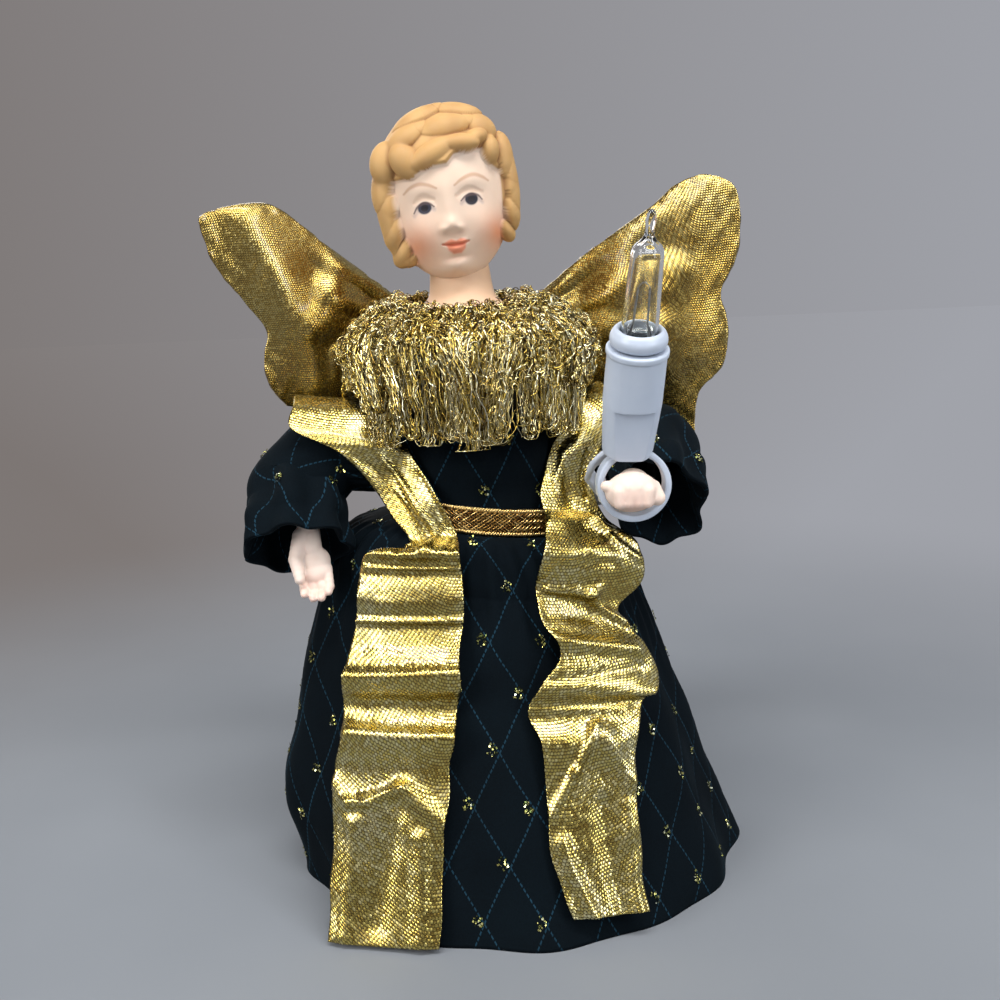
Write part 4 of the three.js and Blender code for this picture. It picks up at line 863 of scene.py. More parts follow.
LEFT_RIBBON_SHARES = [
    [0.440, 1.074, 0.590, 1.079, 0], [0.374, 0.9895, 0.574, 1.004, 0], [0.314, 0.905, 0.525, 0.9173, 0.3],
    [0.330, 0.8557, 0.575, 0.8416, 1.5], [0.301, 0.7923, 0.700, 0.7642, 2.8],
    [0.285, 0.7483, 0.690, 0.7008, 1.2], [0.270, 0.7025, 0.600, 0.6374, 0],
    [0.303, 0.6374, 0.684, 0.5722, 1.4], [0.341, 0.5758, 0.749, 0.5159, 1.8],
    [0.270, 0.5194, 0.730, 0.4807, 1.7], [0.224, 0.4596, 0.659, 0.4613, 0],
    [0.251, 0.4032, 0.635, 0.4032, 1.2], [0.270, 0.3434, 0.618, 0.3469, 0.4],
    [0.273, 0.2676, 0.613, 0.2694, 0.2], [0.273, 0.1919, 0.618, 0.1726, 0.1],
    [0.303, 0.1233, 0.624, 0.1039, 0], [0.352, 0.06339, 0.631, 0.06339, 0.2],
]
ACROSS_SHARES = np.array([0, 0.25, 0.5, 0.75, 1])
OVER_CAP_SHARES = (0.12, 0.3, 0.48, 0.66, 0.82)
# Creases: [across, height of its start, across, height of its end, forward, width], shares across and mm.
RIGHT_CREASES = [
    [0.97, 80, 0.95, 67, 0.6, 1.3], [0.5, 80, 0.42, 66, 0.9, 1.3], [0.76, 79, 0.7, 66, -0.6, 1.1],
    [0.12, 77, 0.1, 66, -0.4, 1.2], [0.05, 65.7, 0.95, 65.4, 0.4, 0.7],
    [0.03, 62.2, 0.95, 62.4, 1.0, 0.95], [0.0, 53.1, 1.0, 53.2, 0.9, 0.75],
    [0.0, 45.1, 1.0, 44.5, 0.95, 1.1], [0.0, 34.5, 0.95, 34.9, 1.0, 1.0], [0.2, 57.5, 0.8, 58, -0.4, 1.5],
    [0.15, 49.0, 0.85, 49.2, -0.4, 1.6], [0.1, 40.0, 0.9, 40.0, -0.35, 1.5],
    [1.0, 26.4, 0.85, 23.3, 1.0, 1.0], [0.85, 23.3, 0.69, 23.6, 0.8, 0.9],
    [0.69, 23.6, 0.42, 26.0, 1.0, 0.95], [0.38, 26.0, 0.0, 20.0, 1.3, 1.2],
    [0.45, 22.5, 0.58, 4, -0.9, 1.5], [0.2, 18, 0.17, 2, 0.9, 1.4], [0.8, 20, 0.86, 2, 0.8, 1.3],
]
LEFT_CREASES = [
    [0.33, 80, 0.35, 73, 0.8, 1.7], [0.74, 80, 0.82, 72, -0.6, 0.8], [0.95, 80, 0.97, 72, 0.4, 1.0],
    [0.06, 68.6, 0.75, 67.4, 1.1, 1.2], [0.75, 67.4, 1.0, 64.1, 0.9, 1.1],
    [0.2, 62.5, 0.7, 61.5, -0.5, 1.1], [0.48, 64.2, 0.77, 65.0, 0.5, 0.6],
    [0.77, 65.0, 0.96, 61.7, 0.5, 0.6], [0.15, 57.5, 0.58, 56.6, 1.1, 1.1],
    [0.58, 56.6, 1.0, 50.2, 1.1, 1.1], [0.1, 53.0, 0.6, 52.0, -0.5, 1.1],
    [0.04, 49.4, 0.87, 46.2, 1.1, 1.2], [0.05, 43.4, 0.8, 43.3, -0.5, 1.0],
    [0.0, 38.0, 0.85, 36.8, 0.6, 0.9], [0.58, 35.0, 0.33, 28.1, 0.9, 0.75],
    [0.33, 28.1, 0.04, 21.3, 0.7, 0.8], [0.66, 33.0, 0.96, 25.5, 1.1, 1.8], [0.62, 22, 0.68, 5, -0.7, 1.6],
    [0.14, 17, 0.3, 4, 0.8, 1.3], [0.9, 22, 0.9, 5, 0.6, 1.1],
]


def ribbon_grid(side, table, creases, seed):
    def place(share, r):
        x = mix(r[0], r[2], share) * skirt.hem_x
        z = mix(r[1], r[3], share) * shoulder.z
        inner_y = dress_front(r[0] * skirt.hem_x, r[1] * shoulder.z)
        y = inner_y + ribbon.hang_share * (dress_front(x, z) - inner_y)
        return [x, min(y, dress_front(x, z)) - ribbon.lift - r[4] * ribbon.fold_depth, z]

    def over(angle, share):
        x = mix(table[0][0], table[0][2], share) * skirt.hem_x + side * GAP
        out = shoulder.cap_radius + ribbon.lift + 2 * ribbon.clearance * share * share
        return [x, shoulder.y + out * math.cos(angle), shoulder.z + out * math.sin(angle)]

    rows = [[over(t * math.pi, s) for s in ACROSS_SHARES] for t in OVER_CAP_SHARES]
    rows += [[place(s, r) for s in ACROSS_SHARES] for r in table[1:]]
    columns = np.stack([catmull(np.array(rows)[:, j], 460) for j in range(len(ACROSS_SHARES))], 1)
    grid = catmull(columns.transpose(1, 0, 2), 52).transpose(1, 0, 2)
    across = np.linspace(0, 1, 53)[None, :]
    wide = lengths_along(grid, 1)
    long = lengths_along(grid, 0)
    front = ease((86 - grid[..., 2]) / 4)
    drawn_width = 16
    push = ridges(across * drawn_width, grid[..., 2],
                  [[c[0] * drawn_width, c[1], c[2] * drawn_width, *c[3:]] for c in creases])
    fine = 0.05 * ripple(wide * 0.6, long, 5.5, seed) + 0.018 * ripple(wide, long * 1.3, 1.7, seed + 1)
    edges = 0.25 * ripple(across * 3, long, 7, seed + 2) * np.abs(2 * across - 1) ** 3
    n = grid_normals(grid)
    n = n * np.where((n[..., 1] > 0) & (front > 0.5), -1, 1)[..., None]
    outward = np.where(front[..., None] > 0.5, n, 0)
    shift = np.maximum(push * front, -0.75) + (fine + edges) * front
    grid = grid + outward * shift[..., None]
    grid[..., 0] += 0.25 * ripple(across * 0, long, 9, seed + 3) * np.abs(2 * across - 1)
    return grid, np.stack([wide, long], -1)


def make_ribbon(name, side, table, creases, seed):
    grid, uv = ribbon_grid(side, table, creases, seed)
    piece = cloth_piece(name + "_lame", grid, ribbon.thickness / 2, finishes.ribbon_lame, uv)
    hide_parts(name)
    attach(piece, "figure")
    middle = grid[:, grid.shape[1] // 2]
    length = np.linalg.norm(np.diff(middle, axis=0), axis=1).sum() * MM
    width = float(np.median(uv[:, -1, 0])) * MM
    area = lengths_along(grid, 1)[:, -1].mean() * MM * length


# Wings: edges from the root outwards and from the top down, as shares of the span from the root's middle.
LEFT_WING_SHARES = Sizes(
    top=[[0, 0.06], [0.242, 0.222], [0.4, 0.35], [0.534, 0.438], [0.662, 0.524], [0.74, 0.592],
         [0.82, 0.622], [0.89, 0.61]],
    outer=[[0.89, 0.61], [0.946, 0.556], [0.958, 0.41], [0.94, 0.294], [0.896, 0.184], [0.918, 0.078],
           [0.918, -0.016], [0.898, -0.104], [0.82, -0.208], [0.806, -0.388]],
    bottom=[[0, -0.06], [0.2, -0.14], [0.43, -0.22], [0.61, -0.28], [0.68, -0.4], [0.74, -0.41],
            [0.806, -0.388]],
)
RIGHT_WING_SHARES = Sizes(
    top=[[0, 0.06], [0.172, 0.206], [0.304, 0.31], [0.432, 0.412], [0.538, 0.508], [0.64, 0.584],
         [0.728, 0.592], [0.798, 0.578]],
    outer=[[0.798, 0.578], [0.896, 0.546], [0.884, 0.442], [0.852, 0.35], [0.774, 0.234], [0.698, 0.116],
           [0.712, 0.032], [0.716, -0.036], [0.694, -0.124], [0.644, -0.192]],
    bottom=[[0, -0.06], [0.26, -0.16], [0.474, -0.216], [0.644, -0.192]],
)
# Creases on the front of each wing, in shares of the span: start, end, forward in mm, width as a share.
RIGHT_WING_CREASES = [
    [0.73, 0.58, 0.61, 0.15, 2.9, 0.09], [0.395, 0.35, 0.495, 0.11, 2.2, 0.065],
    [0.54, 0.09, 0.52, -0.12, 1.3, 0.045], [0.3, 0.2, 0.48, 0.07, -1.0, 0.05],
    [0.44, 0.0, 0.46, -0.18, 1.0, 0.035], [0.18, 0.14, 0.3, 0.02, 0.8, 0.035],
]
LEFT_WING_CREASES = [
    [0.6, 0.5, 0.86, 0.58, 0.9, 0.08], [0.45, 0.37, 0.35, 0.1, -0.8, 0.06],
    [0.3, 0.25, 0.23, 0.06, 0.7, 0.05], [0.62, 0.47, 0.5, 0.1, 0.8, 0.07],
    [0.66, 0.38, 0.93, 0.3, -1.0, 0.06], [0.94, 0.14, 0.95, -0.1, 1.1, 0.07],
    [0.72, 0.18, 0.8, -0.05, 0.7, 0.05], [0.7, 0.05, 0.76, -0.3, 0.8, 0.05],
]


def spline(table, count=400):
    """An even Catmull-Rom curve through a table of two-number rows."""
    p = np.array(table, float)
    t = np.linspace(0, len(p) - 1, count + 1)
    k = np.minimum(t.astype(int), len(p) - 2)
    f = (t - k)[:, None]
    p0, p1, p2 = p[np.maximum(k - 1, 0)], p[k], p[k + 1]
    p3 = p[np.minimum(k + 2, len(p) - 1)]
    v0, v1 = (p2 - p0) / 2, (p3 - p1) / 2
    return p1 + v0 * f + (3 * (p2 - p1) - 2 * v0 - v1) * f**2 + (2 * (p1 - p2) + v0 + v1) * f**3


def swell(share, power):
    return np.sin(math.pi * np.clip(share, 0, 1)) ** power


def make_wing(name, side, table, creases, seed):
    rows, columns = 230, 190
    top, bottom = even(spline(table.top), rows), even(spline(table.bottom), rows)
    outer = even(spline(table.outer[::-1]), columns)
    s = np.linspace(0, 1, rows + 1)[:, None]
    t = np.linspace(0, 1, columns + 1)[None, :]
    ends = bottom[-1] + (top[-1] - bottom[-1]) * t[0][:, None]
    place = (bottom[:, None] * (1 - t)[..., None] + top[:, None] * t[..., None]
             + (outer - ends)[None] * s[..., None])
    out, up = place[..., 0], place[..., 1]
    flat = wing.root_y + (wing.tip_y - wing.root_y) * np.minimum(out, 1.1) ** 1.6
    pleat = (0.6 * wing.pleat * np.sin(wing.pleat_count * math.pi * t)
             * swell(s * 1.05, 0.7) * ease((0.8 - s) / 0.5))
    radial = 0.3 * np.sin(19 * math.pi * t + 3 * np.sin(5 * t)) * ease(1 - s / 0.6) * ease(s / 0.05)
    rim = swell(s, 0.5) * swell(t, 0.5)
    far, high = wing.span * out, wing.span * up
    puckers = 0.14 * (1 - rim) ** 3 * ripple(far, high, 3.1, seed)
    soft = rim * (0.2 * ripple(far, high, 12, seed + 1) + 0.02 * ripple(far, high, 3.6, seed + 2))
    forward = ridges(out, up, creases) * rim + soft + radial + puckers
    grid = np.stack([line_x(wing.root_z) + side * (wing.root_reach + far), flat + pleat - forward,
                     wing.root_z + high], -1)
    half = wing.edge + wing.puff * 0.8 * swell(s, 0.8) * swell(t, 0.7)
    uv = np.stack([lengths_along(grid, 0), lengths_along(grid, 1)], -1)
    if side < 0:
        grid, half, uv = grid[:, ::-1], half[:, ::-1], uv[:, ::-1]
    piece = cloth_piece(name + "_lame", grid, half, finishes.wing_lame, uv)
    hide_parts(name)
    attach(piece, name)


def make_wing_band():
    columns, rows = 140, 60
    a = ring_angles(columns)
    t = np.linspace(0, 1, rows)[:, None]
    full = 0.72 + 0.28 * np.sin(math.pi * t)
    folds = 0.18 * np.sin(22 * math.pi * t + 0.8 * np.sin(3 * a)) + 0.1 * ripple(a * 4, t * 9, 2, 71)
    x = line_x(wing.root_z) + (full * band.half_width + folds) * np.cos(a)
    y = wing.root_y + (full * band.half_depth + folds) * np.sin(a)
    z = wing.root_z + (2 * t - 1) * band.half_height + 0 * a
    grid = np.stack([x, y, z], -1)
    centre = grid.mean(1, keepdims=True)
    caps = [centre[:1] + (grid[:1] - centre[:1]) * k for k in (0.05, 0.5)]
    tops = [centre[-1:] + (grid[-1:] - centre[-1:]) * k for k in (0.5, 0.05)]
    grid = np.concatenate([*caps, grid, *tops])
    piece = grid_piece("wing_band_lame", grid, finishes.wing_lame, loops_uv(grid), ring_columns=True)
    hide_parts("wing_band")
    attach(piece, "figure")


# Collar: a gathered base whose near-black colour is painted shade between the strands; looped strands that
# hang over it; small curls round the neck.
def collar_edge_z(a):
    front = ease((-np.sin(a) - 0.25) / 0.5)
    back = ease((np.sin(a) - 0.25) / 0.5)
    scallop = collar.scallop * np.cos(9 * a + 2.6) * front
    return mix(mix(collar.side_z, collar.front_z, front), collar.back_z, back) + scallop


def collar_line(a):
    """Five places from the heading over the ruff to the edge, at angles a: (5, angles, 3)."""
    start_x = collar.heading_x + collar.heading_radius + GAP
    start_y = collar.heading_y + collar.heading_radius + GAP
    sag = fringe.sag * ease((-np.sin(a) - 0.25) / 0.6)
    heading = collar.heading_z + collar.front_drop * np.sin(a) - fringe.heading_sag * sag
    upper = collar.ruff_z + collar.thickness - sag - fringe.ruff_drop
    edge = collar_edge_z(a)
    rows = [
        (start_x, start_y, heading),
        (mix(start_x, collar.ruff_x, 0.55), mix(start_y, collar.ruff_y, 0.55), upper),
        (collar.ruff_x, collar.ruff_y, collar.ruff_z - collar.thickness / 2 - fringe.fall),
        (mix(collar.ruff_x, collar.edge_x, 0.5), mix(collar.ruff_y, collar.edge_y, 0.5),
         mix(collar.ruff_z, edge, 0.5)),
        (collar.edge_x, collar.edge_y, edge),
    ]
    shifts = (0, 0.5, 1, 1, 1)
    base_x = line_x(collar.heading_z)
    return np.array([np.stack([base_x + collar.shift * k + rx * np.cos(a), ry * np.sin(a), z + 0 * a], -1)
                     for (rx, ry, z), k in zip(rows, shifts)])


def collar_surface(a, share, lift):
    """Places on the collar and the way round the neck there: share runs from heading to edge, lift is off
    its middle surface."""
    steps = 60
    places = catmull(collar_line(np.atleast_1d(a)), steps)
    at = np.clip(share, 0, 1) * steps
    k = np.minimum(at.astype(int), steps - 1)
    f = (at - k)[..., None]
    columns = np.arange(places.shape[1])
    columns = columns if share.ndim == 1 else columns[:, None]
    here, after = places[k, columns], places[k + 1, columns]
    point = here * (1 - f) + after * f
    along = unit(after - here)
    angle = a if share.ndim == 1 else a[:, None]
    around = np.stack([-np.sin(angle) + 0 * share, np.cos(angle) + 0 * share, 0 * share], -1)
    normal = unit(np.cross(along, around))
    return point + normal * lift[..., None], around


def make_collar_base():
    steps, base_rows = 70, 61
    a = ring_angles(330)
    stack = catmull(collar_line(a), steps)
    normals = grid_normals(stack, ring_columns=True)
    pleats = 0.25 * np.cos(22 * a + 0.6 * np.sin(5 * a)) * np.linspace(0, 1, steps + 1)[:, None]
    outward = unit(stack - [line_x(collar.heading_z), 0, 0]) * [1, 1, 0]
    sign = 1 if (normals * outward).sum() > 0 else -1
    upper = stack + normals * sign * (pleats - 0.5)[..., None]
    lower = stack + normals * sign * (pleats - 0.5 - fringe.base_wall)[..., None]
    piece = shell_piece("collar_base", upper[:base_rows], lower[:base_rows], finishes.fringe_base,
                        loops_uv(stack[:base_rows]), flip=sign < 0)
    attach(piece, "figure")


def make_collar_strands(rng):
    """Tufts of thread, one nested in another, that hang from the upper collar and loop back at the edge."""
    tufts, steps = fringe.tufts, 40
    count = tufts * fringe.per_tuft
    tuft = np.repeat(np.arange(tufts), fringe.per_tuft)
    start = (TAU * (np.arange(tufts) + rng.normal(0, 0.5, tufts)) / tufts)[tuft] + rng.normal(0, 0.01, count)
    half_width = rng.uniform(0.1, 1.5, count)[:, None]
    tuft_end = np.clip(rng.normal(0.98, 0.04, tufts), 0.86, 1.05)[tuft][:, None]
    short = rng.uniform(0, 1, (count, 1)) < 0.22
    end_share = np.where(short, rng.uniform(0.55, 0.85, (count, 1)), tuft_end)
    top_share = rng.uniform(0.08, 0.55, (count, 1))
    t = np.linspace(0, 1, steps)[None, :]
    turn = np.abs(2 * t - 1)
    share = end_share - (end_share - top_share) * turn**1.9 - 0.03 * (1.15 - half_width)
    swept = 4.2 * np.sin(7 * start + 1.3) + 1.8 * np.sin(17 * start + 0.4)
    lean = swept[:, None] + rng.normal(0, 3.6, tufts)[tuft][:, None] + rng.normal(0, 1.0, (count, 1))
    # Beside the sleeves the threads don't lean outwards, so that a raised arm clears them.
    to_side = np.cos(start)[:, None]
    most = 1.5 + 12 * ease((0.8 - np.abs(to_side)) / 0.3)
    lean = np.where(to_side > 0, np.minimum(lean, most), np.maximum(lean, -most))
    phase = rng.uniform(0, TAU, (count, 4))
    waves = rng.uniform(4, 9, (count, 1))
    crinkle = (0.4 * np.sin(waves * TAU * t + phase[:, :1])
               + 0.15 * np.sin(waves * 1.7 * TAU * t + phase[:, 1:2]))
    sideways = (lean * (share - 0.3) + np.sign(2 * t - 1) * half_width * np.minimum(1, turn * 5)
                + crinkle * np.minimum(1, turn * 3) + 0.5 * np.sin(2.2 * TAU * t + phase[:, 2:3]) * turn)
    layer = rng.uniform(-0.6, 1.2, tufts)[tuft][:, None] + rng.uniform(0, 0.4, (count, 1))
    bulge = 0.9 * np.sin(math.pi * np.clip(share, 0, 1)) * rng.uniform(0, 1, tufts)[tuft][:, None]
    tucked = 0.8 * ease((share - 0.75) / 0.3) * (layer > 0.6)
    lift = layer + bulge * 0.6 - tucked + 0.2 * np.sin(waves * 1.3 * TAU * t + phase[:, 3:4])
    point, around = collar_surface(start, share, lift)
    strands = tubes_piece("collar_strands", point + around * sideways[..., None], fringe.thread_radius, 3,
                          finishes.fringe, fringe.flatness)
    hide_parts("collar_fringe")
    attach(strands, "figure")


def make_collar_curls(rng):
    """Short coils on the upper collar and standing round the neck."""
    count, steps = fringe.curls, 13
    start = rng.uniform(0, TAU, count)
    at_neck = np.arange(count) < fringe.neck_curls
    share = np.where(at_neck, rng.uniform(0, 0.06, count), rng.uniform(0, 0.85, count) ** 1.25)
    lift = np.where(at_neck, rng.uniform(0, 1.4, count) * (1 - 0.5 * ease(-np.sin(start))),
                    rng.uniform(0.3, 2.1, count))
    lift = lift * (1 - 0.45 * ease((np.sin(start) + 0.1) / 0.5))
    centre, around = collar_surface(start, share, lift)
    axis = unit(rng.normal(0, 1, (count, 3)) + 0.6 * around)
    side = unit(np.cross(axis, rng.normal(0, 1, (count, 3))))
    other = np.cross(axis, side)
    turn = np.linspace(0, 1, steps)[None, :] * TAU * rng.uniform(0.7, 1.4, (count, 1))
    radius = rng.uniform(0.4, 1.15, (count, 1))
    rise = np.linspace(-0.5, 0.5, steps)[None, :] * rng.uniform(0.2, 1.6, (count, 1))
    curls = (centre[:, None] + radius[..., None] * (np.cos(turn)[..., None] * side[:, None]
             + np.sin(turn)[..., None] * other[:, None]) + rise[..., None] * axis[:, None])
    piece = tubes_piece("collar_curls", curls, fringe.curl_radius, 3, finishes.fringe, fringe.flatness)
    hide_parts("collar_heading")
    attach(piece, "figure")


def make_collar():
    rng = np.random.default_rng(31)
    make_collar_base()
    make_collar_strands(rng)
    make_collar_curls(rng)


# Waist braid: flat threads that cross the band on the slant, over and under, with a cord along each edge.
def braid_place(a, up, out):
    rx = bodice.waist_x + braid.ease
    ry = bodice.waist_y + GAP
    x = line_x(braid.z) + rx * np.cos(a)
    return np.stack([line_x(braid.z) + (rx + out) * np.cos(a), (ry + out) * np.sin(a), waist_z(x) + up], -1)


def make_braid():
    half, threads, steps = braid.height / 2 * 0.86, 128, 15
    t = np.linspace(0, 1, steps)[None, :]
    start = ring_angles(threads)[:, None]
    paths = []
    for sign in (1, -1):
        a = start + sign * 0.33 * (t - 0.5)
        up = half * (2 * t - 1)
        out = 0.38 + 0.13 * sign * np.cos(TAU * 3.5 * t) + 0 * start
        paths.append(braid_place(a, up + 0 * start, out))
    weave = tubes_piece("braid_threads", np.concatenate(paths), 0.3, 5, finishes.braid, 0.45)
    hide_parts("waist_braid")
    a = np.linspace(0, TAU, 520)
    edges = []
    for level in (-1, 1):
        for strand in (0, 1):
            twist = 110 * a + math.pi * strand
            edges.append(braid_place(a, level * half + 0.24 * np.sin(twist), 0.4 + 0.2 * np.cos(twist)))
    cords = tubes_piece("braid_edges", np.array(edges), 0.25, 6, finishes.braid)
    # The backing's near-black colour is painted shade between the threads.
    band_a = ring_angles(240)
    stack = np.array([braid_place(band_a, up, out) for up, out in (
        (-half, 0.05), (-half, 0.3), (0, 0.32), (half, 0.3), (half, 0.05))])
    backing = grid_piece("braid_backing", stack, finishes.fringe_base, ring_rows=True, ring_columns=True,
                         uv=wrap_uv(loops_uv(stack)))
    for piece in (weave, cords, backing):
        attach(piece, "figure")


# Head: moulded hair and face as one surface seen from the head's middle, then painted.
# Rows of [x, y, z, radius x, radius y, radius z, turn in the face's plane], in mm from the head's middle
# and radians.
HAIR_LOCKS = [
    [-10.2, -7.0, 4.9, 2.9, 2.6, 3.8, 0.3], [-6.9, -9.7, 4.3, 2.6, 2.2, 3.4, -0.55],
    [-2.4, -11.0, 4.7, 4.3, 2.2, 2.0, -0.4], [2.9, -11.1, 5.8, 3.3, 1.9, 1.6, 0.1],
    [7.9, -8.8, 4.2, 1.8, 2.3, 2.6, 0.1], [5.7, -9.7, 6.5, 2.2, 2.1, 1.5, -0.2],
]
# The sides and the waves over the brow melt into each other more softly.
SOFT_LOCKS = [
    [10.2, -6.2, 2.9, 2.1, 3.0, 4.4, 0.05], [10.8, -5.3, -1.7, 1.9, 3.0, 4.0, -0.05],
    [10.4, -4.8, -5.6, 1.8, 2.9, 3.8, -0.2], [9.2, -4.0, -9.0, 1.6, 2.6, 2.8, -0.45],
    [-11.0, -4.8, 1.3, 2.3, 3.2, 4.0, 0.25], [-10.9, -4.8, -2.4, 2.2, 3.1, 4.0, 0.1],
    [-10.5, -4.2, -6.1, 2.1, 3.0, 3.9, 0.25], [-9.3, -3.2, -9.7, 1.9, 2.9, 3.6, 0.5],
    [-8.0, -2.6, -11.3, 1.2, 2.5, 2.3, 0.75], [-6.0, -7.6, 8.0, 4.2, 3.0, 2.4, -0.45],
    [0.8, -8.5, 8.7, 4.4, 2.8, 2.3, -0.1], [6.6, -6.9, 8.1, 3.4, 3.0, 2.6, 0.5],
    [-3.4, -5.8, 11.0, 4.6, 3.2, 2.0, -0.3], [3.6, -5.6, 11.2, 4.2, 3.2, 2.0, 0.2],
]
# Bumps on the face: [x, z, half width, half height, forward], in mm.
FACE_BUMPS = [
    [-0.9, -2.6, 1.6, 2.4, 0.3], [-0.8, -5.4, 1.5, 2.2, 0.45], [-0.85, -7.5, 1.6, 1.4, 1.15],
    [-2.3, -8.0, 0.8, 0.7, 0.5], [0.6, -8.1, 0.8, 0.7, 0.5], [-5.0, -3.7, 2.8, 1.9, -0.42],
    [3.3, -3.5, 2.8, 1.9, -0.42], [-5.0, -3.85, 1.7, 1.1, 0.2], [3.3, -3.65, 1.7, 1.1, 0.2],
    [-5.1, -0.7, 3.0, 1.3, 0.2], [3.7, -0.6, 3.0, 1.3, 0.2], [-6.2, -9.2, 3.2, 3.2, 0.75],
    [5.8, -9.2, 3.0, 3.2, 0.75], [-0.5, -10.9, 2.9, 1.9, 0.6], [-1.35, -10.25, 0.85, 0.35, 0.3],
    [0.5, -10.35, 0.85, 0.35, 0.3], [-0.45, -11.6, 1.25, 0.6, 0.5], [-0.5, -13.0, 1.7, 0.5, -0.3],
    [-0.6, -14.7, 2.9, 1.7, 1.9], [-0.6, 3.0, 5.5, 3.5, 0.35],
]
# Half sizes of the plain face and of the hair round it, and how far the chin reaches below.
FACE = Sizes(x=12.0, y=11.7, z=14.5, chin=2.8, hair_x=12.6, hair_y=13.1, hair_z=14.6)
# Painted cheeks: [x, z, radius, strength], in mm from the head's middle.
CHEEKS = [[-7.3, -10.1, 3.3, 0.75], [7.6, -9.8, 3.0, 0.85]]
# The hair's edge round the face: [x, z], in mm from the head's middle.
HAIRLINE = [
    [-10.6, -14.0], [-9.3, -10.4], [-10.2, -7.1], [-10.6, -4.4], [-10.5, -1.5], [-9.6, 1.6], [-6.2, 1.3],
    [-3.6, 2.6], [-0.2, 2.6], [1.2, 3.9], [5.0, 4.4], [6.8, 4.3], [7.6, 1.6], [8.9, 0.6], [8.9, -1.2],
    [8.8, -4.8], [9.1, -9.0], [8.0, -13.0],
]
# Lines and outlines painted on the face: (x, z), in mm from the head's middle.
LID_RIGHT = [(-6.9, -4.4), (-6.2, -3.5), (-5.0, -3.05), (-4.0, -3.35), (-3.4, -3.9)]
LID_LEFT = [(1.4, -3.7), (2.2, -3.1), (3.4, -2.85), (4.5, -3.1), (5.2, -3.9)]
CREASE_RIGHT = [(-6.6, -2.7), (-5.2, -2.0), (-3.3, -2.7)]
CREASE_LEFT = [(0.7, -2.8), (3.0, -1.9), (5.4, -2.7)]
BROW_RIGHT = [(-8.1, -0.9), (-6.9, -0.1), (-5.3, 0.15), (-3.8, -0.3), (-2.6, -1.0)]
BROW_LEFT = [(0.6, -1.0), (2.2, -0.1), (4.2, 0.35), (5.8, -0.2), (6.8, -0.9)]
MOUTH_LINE = [(-2.9, -10.45), (-1.6, -10.75), (-0.45, -10.85), (0.7, -10.8), (1.9, -10.5)]
UPPER_LIP = [
    (-2.9, -10.4), (-1.9, -9.95), (-1.3, -9.8), (-0.45, -10.15), (0.4, -9.85), (1.0, -10.0), (1.9, -10.45),
    (0.6, -10.95), (-0.45, -10.9), (-1.6, -10.9),
]
LOWER_LIP = [
    (-2.2, -10.7), (-0.45, -10.7), (1.3, -10.7), (1.1, -11.6), (0.3, -12.3), (-1.1, -12.3), (-1.9, -11.6),
]
SKIN = (0.8, 0.61, 0.47)
COLD_SKIN = (0.78, 0.64, 0.54)
RIGHT_HAND_SKIN, LEFT_HAND_SKIN = (0.82, 0.67, 0.58), (0.82, 0.67, 0.57)
FINGER_TIP = (0.78, 0.45, 0.36)
NECK_SHADE = (0.88, 0.76, 0.64)
HAIR = (0.54, 0.32, 0.12)
# Dark brown of the hair: laid at random over it, and also as painted shade in the grooves between locks.
HAIR_DARK_AND_GROOVE_SHADE = (0.3, 0.14, 0.045)
CORAL = (0.78, 0.27, 0.12)
LIP = (0.78, 0.18, 0.08)
LOWER_LIP_RED = (0.82, 0.2, 0.09)
MOUTH = (0.5, 0.07, 0.03)
BROW = (0.5, 0.27, 0.15)
LASH = (0.09, 0.06, 0.06)
LID_SHADE = (0.45, 0.36, 0.36)
EYE_WHITE = (0.82, 0.77, 0.76)
# The figure's right iris is a lighter slate than the left: a dark iris with a painted reflection laid into
# its colour.
RIGHT_IRIS_WITH_PAINTED_REFLECTION, LEFT_IRIS = (0.035, 0.04, 0.065), (0.012, 0.016, 0.03)
PUPIL = (0.008, 0.009, 0.015)


def inside_share(x, z, outline, soft):
    """1 inside a closed outline, 0 outside, eased over a soft border; the distance is kept signed."""
    p = np.array(outline)
    q = np.roll(p, -1, 0)
    nearest = np.full(x.shape, 1e9)
    crossings = np.zeros(x.shape, int)
    for (x0, z0), (x1, z1) in zip(p, q):
        du, dv = x1 - x0, z1 - z0
        t = np.clip(((x - x0) * du + (z - z0) * dv) / (du * du + dv * dv), 0, 1)
        nearest = np.minimum(nearest, np.hypot(x - x0 - t * du, z - z0 - t * dv))
        if z1 != z0:
            hit = ((z0 > z) != (z1 > z)) & (x < x0 + (z - z0) * du / dv)
            crossings += hit
    signed = np.where(crossings % 2 == 1, nearest, -nearest)
    return ease(0.5 + signed / (2 * soft))


def stroke(x, z, points, width):
    """How near each place is to a soft painted line, 1 on it, with ends that taper."""
    line = catmull(np.array(points, float), 24)
    best = np.zeros(x.shape)
    for k, (p, q) in enumerate(zip(line, line[1:])):
        d = q - p
        t = np.clip(((x - p[0]) * d[0] + (z - p[1]) * d[1]) / max(d.dot(d), 1e-9), 0, 1)
        apart = np.hypot(x - p[0] - t * d[0], z - p[1] - t * d[1])
        here = width * (0.45 + 0.55 * math.sin(math.pi * min(max((k + 0.5) / 24, 0.08), 0.92)))
        best = np.maximum(best, np.clip(1.5 - apart / here, 0, 1))
    return best


def ellipsoid_reach(d, centre, radii, turn):
    """How far from the head's middle each direction meets the far side of an ellipsoid."""
    c, s = math.cos(turn), math.sin(turn)
    spin = np.array([[c, 0, s], [0, 1, 0], [-s, 0, c]])
    e = (d @ spin) / radii
    o = (np.array(centre) @ spin) / radii
    a = (e * e).sum(-1)
    b = e @ o
    inside = b * b - a * (o @ o - 1)
    return np.where((inside > 0) & (b > 0), (b + np.sqrt(np.maximum(inside, 0))) / a, -99)


